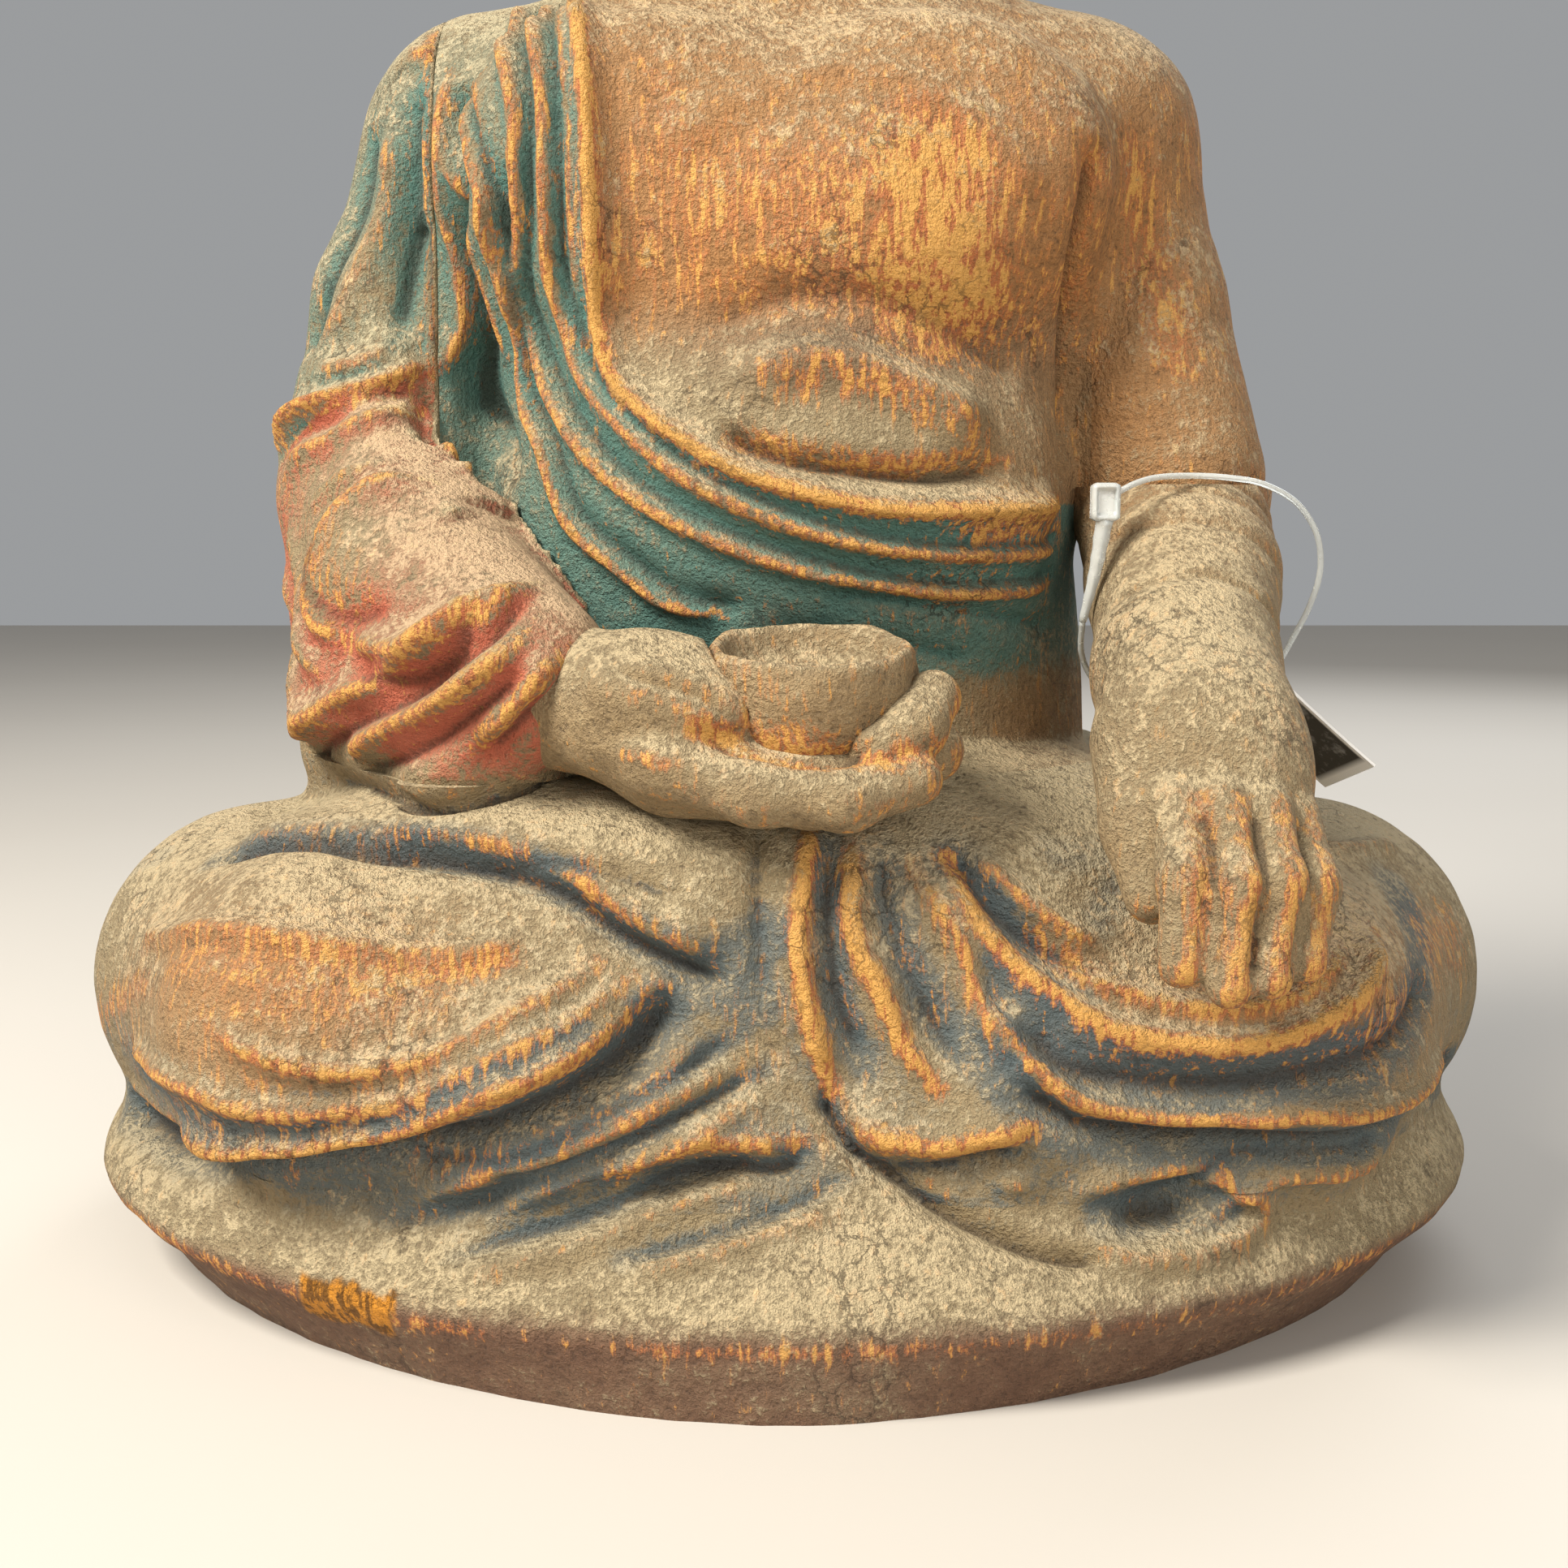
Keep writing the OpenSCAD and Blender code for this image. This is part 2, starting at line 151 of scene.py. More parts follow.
def limb(points, radii, fillet=4.0, cut=False):
    """A rounded rod along straight runs, its radius changing evenly from point to point."""
    points = np.asarray(points, float)
    radii = np.asarray(radii, float)

    def distance(x, y, z):
        best = None
        for a, b, r_a, r_b in zip(points[:-1], points[1:], radii[:-1], radii[1:]):
            run = b - a
            t = ((x - a[0]) * run[0] + (y - a[1]) * run[1] + (z - a[2]) * run[2]) / run.dot(run)
            t = np.clip(t, 0, 1)
            gap = np.sqrt(
                (x - a[0] - t * run[0]) ** 2 + (y - a[1] - t * run[1]) ** 2 + (z - a[2] - t * run[2]) ** 2
            ) - (r_a + t * (r_b - r_a))
            best = gap if best is None else soft_min(best, gap, 3.0)
        return best

    reach = radii.max()
    return Form(points.min(0) - reach, points.max(0) + reach, distance, fillet, cut)


def stack(rows, fillet=4.0, cut=False):
    """Superellipse slices [z, centre x, centre y, half width, half depth, exponent], eased between rows."""
    rows = np.asarray(rows, float)
    fine = smooth_line(rows, 1.0)
    fine = fine[np.argsort(fine[:, 0])]
    reach = rows[:, 3:5].max(0)

    def distance(x, y, z):
        at = np.clip(z, fine[0, 0], fine[-1, 0])
        c_x, c_y, a, b, n = (np.interp(at, fine[:, 0], fine[:, k]) for k in range(1, 6))
        d_x, d_y = x - c_x, y - c_y
        out = np.sqrt(d_x**2 + d_y**2) + 1e-6
        share = (np.abs(d_x / a) ** n + np.abs(d_y / b) ** n) ** (1 / n) + 1e-6
        side = out * (1 - 1 / share)
        end = np.maximum(fine[0, 0] - z, z - fine[-1, 0])
        return np.maximum(side, end)

    low = [rows[:, 1].min() - reach[0], rows[:, 2].min() - reach[1], rows[0, 0]]
    high = [rows[:, 1].max() + reach[0], rows[:, 2].max() + reach[1], rows[-1, 0]]
    return Form(low, high, distance, fillet, cut)


def block(low, high, fillet=0.0, cut=False):
    """A box: the greatest of the distances past its six sides."""
    low = np.asarray(low, float)
    high = np.asarray(high, float)

    def distance(x, y, z):
        sides = [np.maximum(low[k] - p, p - high[k]) for k, p in enumerate((x, y, z))]
        return np.maximum(np.maximum(sides[0], sides[1]), sides[2])

    return Form(low, high, distance, fillet, cut)


def soft_min(a, b, fillet):
    """The lesser of two distances, with a round fillet where they are alike."""
    if fillet <= 0:
        return np.minimum(a, b)
    share = np.clip(0.5 + 0.5 * (b - a) / fillet, 0, 1)
    return b + (a - b) * share - fillet * share * (1 - share)


# The distance, in mm, that stands for empty space, and how far past its box a form is still worked out
EMPTY = 12.0
MARGIN = 8.0


class Clay:
    """Forms joined on an even grid of distances over a box in mm, which can be read and snapped to."""

    def __init__(self, forms, low, high, step):
        self.step = step
        self.low = np.floor(np.asarray(low, float) / step) * step
        counts = np.ceil((np.asarray(high, float) - self.low) / step).astype(int) + 1
        self.field = np.full(counts, EMPTY, np.float32)
        axes = [self.low[k] + step * np.arange(counts[k]) for k in range(3)]
        for form in forms:
            margin = MARGIN + 2 * form.fillet
            first = [np.searchsorted(axes[k], form.low[k] - margin) for k in range(3)]
            last = [np.searchsorted(axes[k], form.high[k] + margin) for k in range(3)]
            if any(a >= b for a, b in zip(first, last)):
                continue
            window = tuple(slice(a, b) for a, b in zip(first, last))
            x = axes[0][window[0]][:, None, None]
            y = axes[1][window[1]][None, :, None]
            z = axes[2][window[2]][None, None, :]
            gap = np.broadcast_to(form.distance(x, y, z), self.field[window].shape)
            if form.cut:
                self.field[window] = -soft_min(-self.field[window], gap, form.fillet)
            else:
                self.field[window] = soft_min(self.field[window], gap, form.fillet)

    def read(self, places):
        """The distance at any places, mixed from the eight grid points round each."""
        at = (places - self.low) / self.step
        at = np.clip(at, 0, np.array(self.field.shape) - 1.001)
        cell = at.astype(int)
        share = at - cell
        total = 0.0
        for corner in np.ndindex(2, 2, 2):
            weight = np.prod(np.where(corner, share, 1 - share), axis=1)
            total = total + weight * self.field[tuple((cell + corner).T)]
        return total

    def slope(self, places):
        """The way out of the clay at each place, one long: the way its distance grows."""
        shifts = np.eye(3) * self.step
        way = np.stack([self.read(places + shift) - self.read(places - shift) for shift in shifts], axis=1)
        return way / (np.linalg.norm(way, axis=1, keepdims=True) + 1e-9)

    def snap(self, places):
        """The places, moved onto the skin along the slope."""
        for _ in range(4):
            places = places - self.read(places)[:, None] * self.slope(places)
        return places

    def skin(self):
        """The surface where the distance is nought, as points in mm and faces."""
        reach = 3.0 * self.step
        grid = openvdb.FloatGrid(background=reach)
        grid.copyFromArray(np.clip(self.field, -reach, reach), tolerance=0.0)
        points, triangles, quads = grid.convertToPolygons(isovalue=0.0, adaptivity=0.0)
        return self.low + np.asarray(points, float) * self.step, triangles.tolist() + quads.tolist()


# ---------------------------------------------------------------------------
# The carved figure, before it is cut into its blocks
# ---------------------------------------------------------------------------

TORSO_Y = 8.0


def base_forms():
    """A superellipse board: a raked underside, a lip, and the skirt of cloth that climbs to the legs."""
    board = stack(
        [
            [-5, 0, 0, 108, 91, 1.72],
            [0, 0, 0, 112, 92.6, 1.75],
            [6, 0, 0, 118.5, 93.6, 1.82],
            [10.5, 0, 0, 123.5, 94.3, 1.9],
            [13, 0, 0, 124.5, 94.4, 1.94],
            [15.5, 0, 0, 124, 93.4, 1.94],
            [20, 0, 0, 122, 90, 1.96],
            [27, 0, 0, 118, 84, 2.0],
            [38, 0, 0, 109, 77, 2.1],
            [52, 0, 0, 96, 68, 2.2],
        ],
        fillet=0,
    )
    level = board.distance
    # The lip rises a little towards both ends of the board
    board.distance = lambda x, y, z: level(
        x, y, z - 4.0 * (x / 125.0) ** 4 * ramp(z, 0, 8) * ramp(40 - z, 0, 24)
    )
    return [board]


def lap_forms():
    """Crossed legs under cloth: a rounded pile, with a leg as a bent rod on each side."""
    pile = stack(
        [
            [18, 0, 0, 104, 73, 2.2],
            [35, 0, -2, 108, 74, 2.3],
            [50, 0, -2, 107, 75, 2.4],
            [62, 0, -2, 100, 75, 2.4],
            [72, 0, -2, 91, 73, 2.4],
            [80, 0, -2, 80, 69, 2.4],
            [85, 0, 0, 69, 62, 2.3],
            [89, 0, 2, 56, 52, 2.3],
            [93, 0, 4, 40, 40, 2.2],
        ],
        fillet=4,
    )
    right_leg = limb(
        [(-42, 30, 56), (-92.5, -10, 47), (-70, -53, 49), (-38, -66, 45), (-6, -70, 38)],
        [30, 30, 28, 19, 9], 7,
    )
    left_leg = limb(
        [(42, 30, 56), (93, -10, 48), (74, -50, 47), (38, -64, 43), (8, -70, 36)], [30, 30, 28, 18, 8], 7
    )
    back = limb([(-60, 46, 50), (0, 58, 52), (60, 46, 50)], [30, 24, 30], 10)
    return [pile, right_leg, left_leg, back]


def torso_forms():
    """The trunk as superellipse slices, with round shoulders, a soft chest and a full belly."""
    trunk = stack(
        [
            [80, 0, TORSO_Y, 58, 46, 2.3],
            [95, 0, TORSO_Y, 56, 47, 2.3],
            [115, 0, TORSO_Y, 53.5, 47, 2.3],
            [135, 0, TORSO_Y, 52.5, 46, 2.4],
            [152, 0, TORSO_Y, 54, 45, 2.4],
            [170, 0, TORSO_Y, 60, 44, 2.5],
            [186, 0, TORSO_Y, 64, 41, 2.6],
            [200, 0, TORSO_Y, 66, 36, 2.5],
            [210, 0, TORSO_Y, 60, 30, 2.3],
            [217, 0, TORSO_Y, 48, 25, 2.1],
            [223, 0, TORSO_Y, 30, 20, 2.0],
            [231, 0, TORSO_Y, 17, 17, 2.0],
        ],
        fillet=5,
    )
    shoulders = [egg((side * 53, TORSO_Y, 194), (20.5, 22, 23), fillet=10) for side in (-1, 1)]
    chest = [egg((side * 24, -25, 186), (29, 11, 24), fillet=10) for side in (-1, 1)]
    belly = egg((0, -20, 130), (45, 27, 32), fillet=12)
    dome = egg((9, -27, 175), (31, 14.5, 23), fillet=5)
    return [trunk, *shoulders, *chest, dome, belly]


def sleeve_forms():
    """The robed right arm as bent rods, with the cloth that hangs from the forearm onto the lap."""
    upper = limb([(-53, 8, 192), (-64, 5, 165), (-69, 0, 134)], [21, 20.5, 20.5], 7)
    lower = limb([(-69, -1, 131), (-60, -30, 116), (-40, -56, 104)], [20.5, 18, 14], 6)
    hanging = limb([(-69, -2, 112), (-67, -6, 90)], [20, 20], 7)
    fall = limb([(-64, -26, 100), (-50, -50, 92)], [18, 12], 8)
    return [upper, lower, hanging, fall]


def left_arm_forms():
    """The bare left arm as two tapering rods that meet at the elbow."""
    upper = limb([(53, 8, 192), (61, 3, 165), (68, -6, 136)], [20.5, 18, 17], 5)
    fore = limb([(68, -6, 134), (66, -32, 118), (62, -60, 101)], [17, 15.5, 13.5], 5)
    return [upper, fore]


# Each finger of the left hand, from its knuckle over its middle joint to its tip
LEFT_FINGERS = [
    [(56, -82, 88), (56, -89.5, 79), (55, -92, 67)],
    [(62, -84, 88), (62.5, -91.5, 78), (61.3, -94, 64.5)],
    [(68, -83, 87), (68.5, -90, 78), (67, -93, 65.5)],
    [(73, -79, 85), (74, -86, 77), (72.6, -89.5, 67)],
]


def left_hand_forms():
    """A hand laid over the knee: a flat wedge from the wrist, a thumb's edge and four bent rods."""
    wrist = limb([(62, -54, 104), (62, -68, 97)], [13.8, 12], 4)
    back = egg((63, -73, 92), (14.5, 10, 17), (-30, 0, 0), 6)
    thumb = limb([(53, -66, 94), (51.5, -77, 84), (52, -84, 75)], [6.5, 5, 3.8], 6)
    palm = egg((63, -76, 80), (12, 7, 13), (-20, 0, 0), 5)
    fingers = [limb(line, [4.3, 3.8, 3.3], 1.6) for line in LEFT_FINGERS]
    return [wrist, back, palm, thumb, *fingers]


def right_hand_forms():
    """A cupped hand: a palm under the bowl, fingers round its front and a thumb up its side."""
    wrist = limb([(-42, -50, 102), (-24, -63, 100)], [12, 11], 4)
    heel = egg((-17, -66, 99), (15, 12, 12.5), (0, 10, 0), 5)
    knuckle = egg((-16, -75, 102), (12, 5, 5.5), (0, 12, 0), 3)
    under = limb([(-16, -68, 92), (4, -72, 90), (22, -66, 94)], [8, 6.5, 5], 4)
    low_finger = limb(
        [(-18, -75, 93), (-4, -79, 89.5), (9, -80, 88.5), (19, -77, 91)], [5.5, 4.8, 4.3, 4.0], 2.5
    )
    high_finger = limb([(13, -77, 95), (19, -74, 98), (22, -69, 102)], [3.6, 4.2, 4.2], 1.2)
    return [wrist, heel, knuckle, under, low_finger, high_finger]


def head_forms():
    """A calm, full face on a round skull: brow, eyes, nose, lips, chin, long ears, neck and topknot."""
    skull = egg((0, 9, 276), (29.5, 32, 27), fillet=6)
    cheeks = egg((0, -2, 257), (26.5, 25, 23), fillet=8)
    jaw = egg((0, -6, 246), (19, 19, 13), fillet=8)
    chin = egg((0, -20.5, 241.5), (8, 6.5, 5.5), fillet=7)
    neck = stack(
        [
            [214, 0, 8, 22, 20, 2], [222, 0, 8, 17.2, 17.2, 2], [230, 0, 7, 15.8, 15.8, 2],
            [246, 0, 6, 15, 15, 2],
        ],
        5,
    )
    knot = stack(
        [
            [294, 0, 7, 20, 20, 2], [302, 0, 6, 18, 18, 2], [312, 0, 5, 15, 15, 2],
            [318, 0, 5, 9.5, 9.5, 2], [321, 0, 5, 3, 3, 2],
        ],
        5,
    )
    forms = [skull, cheeks, jaw, chin, neck, knot]
    forms.append(limb([(0, -23.5, 276), (0, -27.4, 267), (0, -30.6, 260.4)], [3.0, 2.8, 3.3], 4))
    forms.append(egg((0, -29.4, 259), (5.4, 3.8, 2.7), fillet=2))
    for side in (-1, 1):
        brow = [
            (side * 3.5, -25, 273), (side * 10, -24, 276.6), (side * 18, -19, 275), (side * 24, -11.5, 271)
        ]
        forms.append(limb(brow, [1.5, 1.6, 1.4, 1.0], 5))
        forms.append(
            egg((side * 10.8, -25.2, 268.2), (8.2, 4.2, 4.2), (0, side * -4, side * 20), 5, cut=True)
        )
        forms.append(egg((side * 10.8, -20.9, 267.0), (7.4, 5.4, 3.9), (0, side * -4, side * 14), 1.6))
        forms.append(egg((side * 14, -17, 255.5), (9, 8, 8), fillet=8))
        ear = [
            (side * 29, 7, 279), (side * 30.6, 10, 274), (side * 30.6, 10.5, 266), (side * 29.4, 8.5, 257),
            (side * 28, 7, 248),
        ]
        forms.append(limb(ear, [2.4, 3.2, 3.2, 3.0, 3.6], 2))
        forms.append(egg((side * 32.6, 7.6, 268), (2.0, 2.4, 6.2), fillet=1.2, cut=True))
        forms.append(egg((side * 31.2, 5.8, 249.5), (1.6, 1.5, 3.6), fillet=0.8, cut=True))
    forms.append(egg((0, -27.6, 250.7), (7.8, 4.4, 2.1), fillet=2.2))
    forms.append(egg((0, -26.4, 247.0), (5.8, 4.4, 2.3), fillet=2.0))
    forms.append(limb([(0, -30.6, 255.6), (0, -30.4, 253)], [1.1, 1.4], 2.2, cut=True))
    return forms


# ---------------------------------------------------------------------------
# The knife and the brush: lines over the skin that raise, sink or colour it
# ---------------------------------------------------------------------------


class Stroke:
    """A line over the skin, with what it does there: raise a fold, cut a groove, step a layer, lay paint."""

    def __init__(self, kind, size, width, points, lean=0.0, ends=8.0):
        self.kind = kind
        self.size = size
        self.width = width
        self.points = points
        self.lean = lean
        self.ends = ends


def ridge(height, width, points, lean=0.0, ends=8.0):
    """A rounded fold: height * exp(-(across / width)^2), steeper on the side it leans to."""
    return Stroke("ridge", height, width, points, lean, ends)


def groove(depth, width, points, ends=6.0):
    """A knife cut: -depth * exp(-|across / width|^1.4)."""
    return Stroke("groove", depth, width, points, 0.0, ends)


def shelf(height, width, points, side=1.0, ends=10.0):
    """A layer of cloth that starts at the line: a step up on one side, which dies out over its width."""
    return Stroke("shelf", height, width, points, side, ends)


def paint(colour, strength, width, points, ends=0.0):
    """Colour laid along the line, fading over its width. Nothing is raised."""
    return Stroke(colour, strength, width, points, 0.0, ends)


PAINT_COATS = ("flesh", "cloth", "rim", "dust", "teal", "slate", "red", "bole", "gold", "crack", "fresh")
COLOURS = ("teal", "slate", "red", "brown", "worn", "painted_shade", "fresh", "flesh")

ROBE_EDGE = [
    (-33, -10, 218), (-31, -34, 197), (-30, -36, 178), (-29, -34, 160), (-26, -38, 149),
    (-18, -43, 142), (-8, -46, 136), (5, -47, 132), (17, -45, 130), (31, -40, 130), (46, -26, 131),
]
ROBE_FOLDS = [
    [(-40, -10, 215), (-39, -33, 198), (-38, -35, 179), (-37, -33, 166), (-32, -34, 151), (-24, -42, 141),
     (-13, -46, 133), (5, -47, 126), (24, -43, 123), (46, -25, 124)],
    [(-45, -6, 216), (-43, -32, 195), (-43, -33, 179), (-43, -28, 163), (-39, -29, 151), (-32, -39, 139),
     (-21, -44, 130), (-8, -46, 124), (5, -46, 120), (24, -41, 117), (45, -25, 118)],
    [(-47, -32, 185), (-46, -29, 169), (-43, -25, 150), (-39, -34, 139), (-35, -38, 128), (-27, -41, 121),
     (-19, -43, 115), (-8, -44, 113)],
    [(-52, -19, 201), (-51, -29, 188), (-48, -31, 178), (-46, -29, 169)],
]
ARMPIT_FOLD = [
    (-54, -18, 201), (-54, -26, 186), (-54, -19, 174), (-52, -17, 161), (-51, -14, 148), (-45, -28, 134)
]
SLEEVE_EDGE = [
    (-56, -16, 203), (-57, -19, 188), (-57, -18, 180), (-55, -17, 171), (-55, -16, 160), (-61, -16, 152)
]
SLEEVE_HEM = [(-87, -4, 138), (-81, -12, 143), (-75, -16, 147.5), (-66, -18, 151.5), (-58, -17, 156)]
ELBOW_FOLDS = [
    [(-87, -13, 135), (-82, -17, 139), (-76, -20, 141), (-68, -21, 144), (-60, -18, 148)],
    [(-88, -12, 141), (-82, -16, 146), (-75, -19, 147), (-66, -19, 148)],
]
ELBOW_PATCH = [
    (-58, -37, 134), (-66, -38, 132), (-73, -38, 127), (-77, -38, 120), (-75, -41, 113), (-69, -47, 109)
]
FOREARM_FOLDS = [
    [(-69, -47, 109), (-58, -58, 109), (-49, -63, 113), (-41, -60, 117)],
    [(-83, -18, 91), (-66, -50, 102), (-55, -61, 108), (-44, -65, 114), (-38, -57, 118)],
    [(-70, -43, 91), (-55, -61, 99), (-44, -69, 106), (-37, -67, 112)],
    [(-46, -65, 94), (-39, -70, 102), (-33, -66, 109)],
]
CUFF = [(-43, -58, 85), (-36, -51, 88), (-33, -37, 90), (-28, -62, 99)]

THIN_FOLDS = [
    [(-49, -20, 205), (-49, -31, 189), (-47, -32, 172), (-45, -28, 157), (-42, -31, 143)],
    [(-55, -14, 196), (-52, -22, 182), (-50, -21, 168), (-48, -21, 153)],
    [
        (-35, -22, 210), (-34, -35, 190), (-33.5, -35, 172), (-32, -33, 158), (-25, -39, 146),
        (-14, -45, 138),
    ],
]
SLEEVE_STROKES = [
    *[ridge(1.8, 2.2, line) for line in (
        [(-84, -14, 129), (-82, -26, 119), (-78, -34, 108), (-70, -44, 102)],
        [(-87, -8, 121), (-84, -20, 109), (-78, -33, 98), (-66, -47, 95)],
        [(-60, -31, 133), (-70, -30, 133), (-80, -22, 129)],
    )],
    *[ridge(2.6, 2.6, line) for line in ELBOW_FOLDS],
    ridge(3.0, 2.8, ELBOW_PATCH),
    groove(1.8, 2.6, [(-66, -34, 124), (-72, -36, 118), (-68, -43, 113), (-58, -52, 114)]),
    *[ridge(3.0, 2.3, line, lean=0.3) for line in FOREARM_FOLDS],
    *[groove(2.4, 1.8, [(x, y - 1, z - 5) for x, y, z in line]) for line in FOREARM_FOLDS],
    ridge(2.8, 2.6, CUFF),
    *[paint("worn", 0.34, 2.0, line) for line in (*ELBOW_FOLDS, ELBOW_PATCH, *FOREARM_FOLDS)],
    paint("worn", 0.30, 7.0, [(-74, -36, 122), (-66, -42, 116)]),
]
BODY_STROKES = [
    shelf(2.6, 14, ROBE_EDGE, side=-1),
    ridge(2.8, 2.1, ROBE_EDGE, lean=0.5),
    *[ridge(2.3, 1.6, line, lean=0.4) for line in ROBE_FOLDS],
    *[groove(1.9, 1.6, [(x + 2.8, y, z + 1.2) for x, y, z in line]) for line in ROBE_FOLDS],
    *[ridge(1.3, 1.1, line) for line in THIN_FOLDS],
    groove(4.4, 2.4, ARMPIT_FOLD),
    ridge(2.4, 2.4, SLEEVE_EDGE),
    groove(3.2, 2.8, [(-61, -13, 201), (-63, -15, 185), (-64, -16, 170), (-66, -16, 158)]),
    ridge(2.0, 2.8, [(-66, -10, 196), (-69, -14, 181), (-74, -14, 167), (-78, -12, 156)]),
    groove(2.0, 2.6, [(-72, -6, 197), (-75, -9, 181), (-80, -8, 166), (-83, -6, 154)]),
    shelf(2.8, 12, SLEEVE_HEM, side=1),
    ridge(2.0, 2.0, SLEEVE_HEM),
    ridge(1.8, 1.8, [(-80, -10, 153), (-72, -16, 154), (-64, -18, 159)]),
    # The belly: a roll of flesh over a deep crease, and the arc under the chest
    ridge(
        3.8, 4.2,
        [(-9, -42, 147), (-3, -42, 151), (5, -41, 153), (15, -41, 151), (24, -40, 147), (34, -37, 141)],
    ),
    groove(3.8, 1.8, [(-11, -45, 143), (-1, -46, 138), (11, -46, 136), (24, -43, 135), (36, -36, 137)]),
    groove(1.6, 3.0, [(-13, -36, 158), (-2, -40, 163), (14, -41, 163), (30, -38, 157), (42, -30, 152)]),
    ridge(
        1.2, 3.5,
        [
            (-21, -37, 184), (-13, -36, 191), (-4, -34, 196), (6, -33, 199), (18, -35, 198), (30, -36, 191),
            (43, -33, 178),
        ],
    ),
    groove(3.7, 2.2, [(51, -30, 190), (49, -28, 173), (48, -20, 161), (48, -16, 148), (47, -22, 132)]),
    groove(1.4, 1.6, [(6, -46, 117), (20, -42, 115), (36, -34, 112), (47, -22, 110)]),
    groove(1.2, 1.4, [(-2, -46, 110), (14, -44, 108), (32, -36, 105)]),
    # Drapery over the back, from the covered shoulder down to the far hip
    *[
        ridge(2.1, 2.6, [
            (-50 + 16 * k, 42 - abs(k - 1), 208 - k), (-30 + 20 * k, 52, 176 - 4 * k),
            (2 + 16 * k, 55, 142 - 6 * k), (44 + 2 * k, 42, 112 - 5 * k),
        ])
        for k in range(-1, 3)
    ],
    ridge(2.7, 2.8, [(-34, 30, 218), (-14, 45, 204), (14, 47, 200), (40, 40, 196), (52, 34, 180)]),
]

# The lap's cloth: the band under the belly, the two legs' folds and the fall of cloth between them
RIGHT_LEG_TOP = [
    (-93, -40, 73), (-84, -44, 76), (-68, -55, 78), (-54, -61, 78), (-42, -67, 77), (-32, -71, 74),
    (-22, -75, 68), (-8, -77, 62),
]
RIGHT_LEG_FOLDS = [
    [
        (-85, -77, 55), (-75, -81, 51), (-64, -82, 49), (-52, -82, 51), (-43, -82, 55), (-35, -80, 59),
        (-27, -76, 64),
    ],
    [
        (-107, -46, 43), (-90, -73, 45), (-79, -79, 43), (-67, -81, 43), (-55, -82, 45), (-42, -84, 51),
        (-31, -81, 56), (-22, -76, 62),
    ],
    [(-92, -62, 37), (-74, -78, 37), (-56, -80, 40), (-43, -84, 46), (-31, -83, 51), (-22, -78, 57)],
]
RIGHT_LEG_FOOT = [
    (-115, -24, 26), (-99, -48, 27), (-80, -72, 32), (-70, -77, 33), (-55, -80, 36), (-42, -85, 41),
    (-31, -84, 46), (-22, -78, 52), (-16, -77, 60),
]
MIDDLE_FOLDS = [
    [(4, -66, 84), (3, -74, 76), (2, -76, 67), (4, -77, 55), (7, -77, 45)],
    [(10, -70, 80), (10, -76, 69), (14, -77, 60), (18, -77, 51), (23, -79, 45)],
    [(19, -72, 77), (25, -75, 67), (29, -77, 57), (33, -79, 49)],
]
LEFT_LEG_FOLDS = [
    [
        (24, -71, 79), (28, -74, 70), (34, -75, 63), (40, -76, 58), (48, -78, 54), (59, -78, 52),
        (69, -78, 52), (78, -77, 55), (86, -73, 60), (91, -66, 68),
    ],
    [
        (37, -73, 67), (43, -74, 62), (52, -76, 59), (62, -76, 57), (71, -77, 58), (79, -75, 61),
        (85, -70, 67),
    ],
    [
        (31, -76, 58), (35, -80, 51), (43, -82, 44), (54, -79, 41), (67, -78, 40), (79, -77, 41),
        (94, -69, 41), (107, -50, 44),
    ],
]
LEFT_LEG_FOOT = [
    (33, -80, 47), (43, -83, 40), (54, -81, 36), (67, -80, 34), (81, -76, 34), (97, -62, 36),
    (114, -30, 34),
]
FALL_FOLDS = [
    [(-6, -79, 50), (-20, -82, 42), (-38, -84, 33), (-60, -81, 26)],
    [(-2, -79, 45), (-14, -81, 39), (-28, -84, 33), (-46, -85, 26)],
    [(-2, -81, 33), (-16, -83, 29), (-32, -86, 24), (-50, -86, 20)],
    [(10, -82, 30), (2, -83, 26), (-10, -85, 22), (-24, -87, 19)],
    [(52, -84, 24), (66, -82, 25), (82, -76, 27), (97, -66, 28)],
]
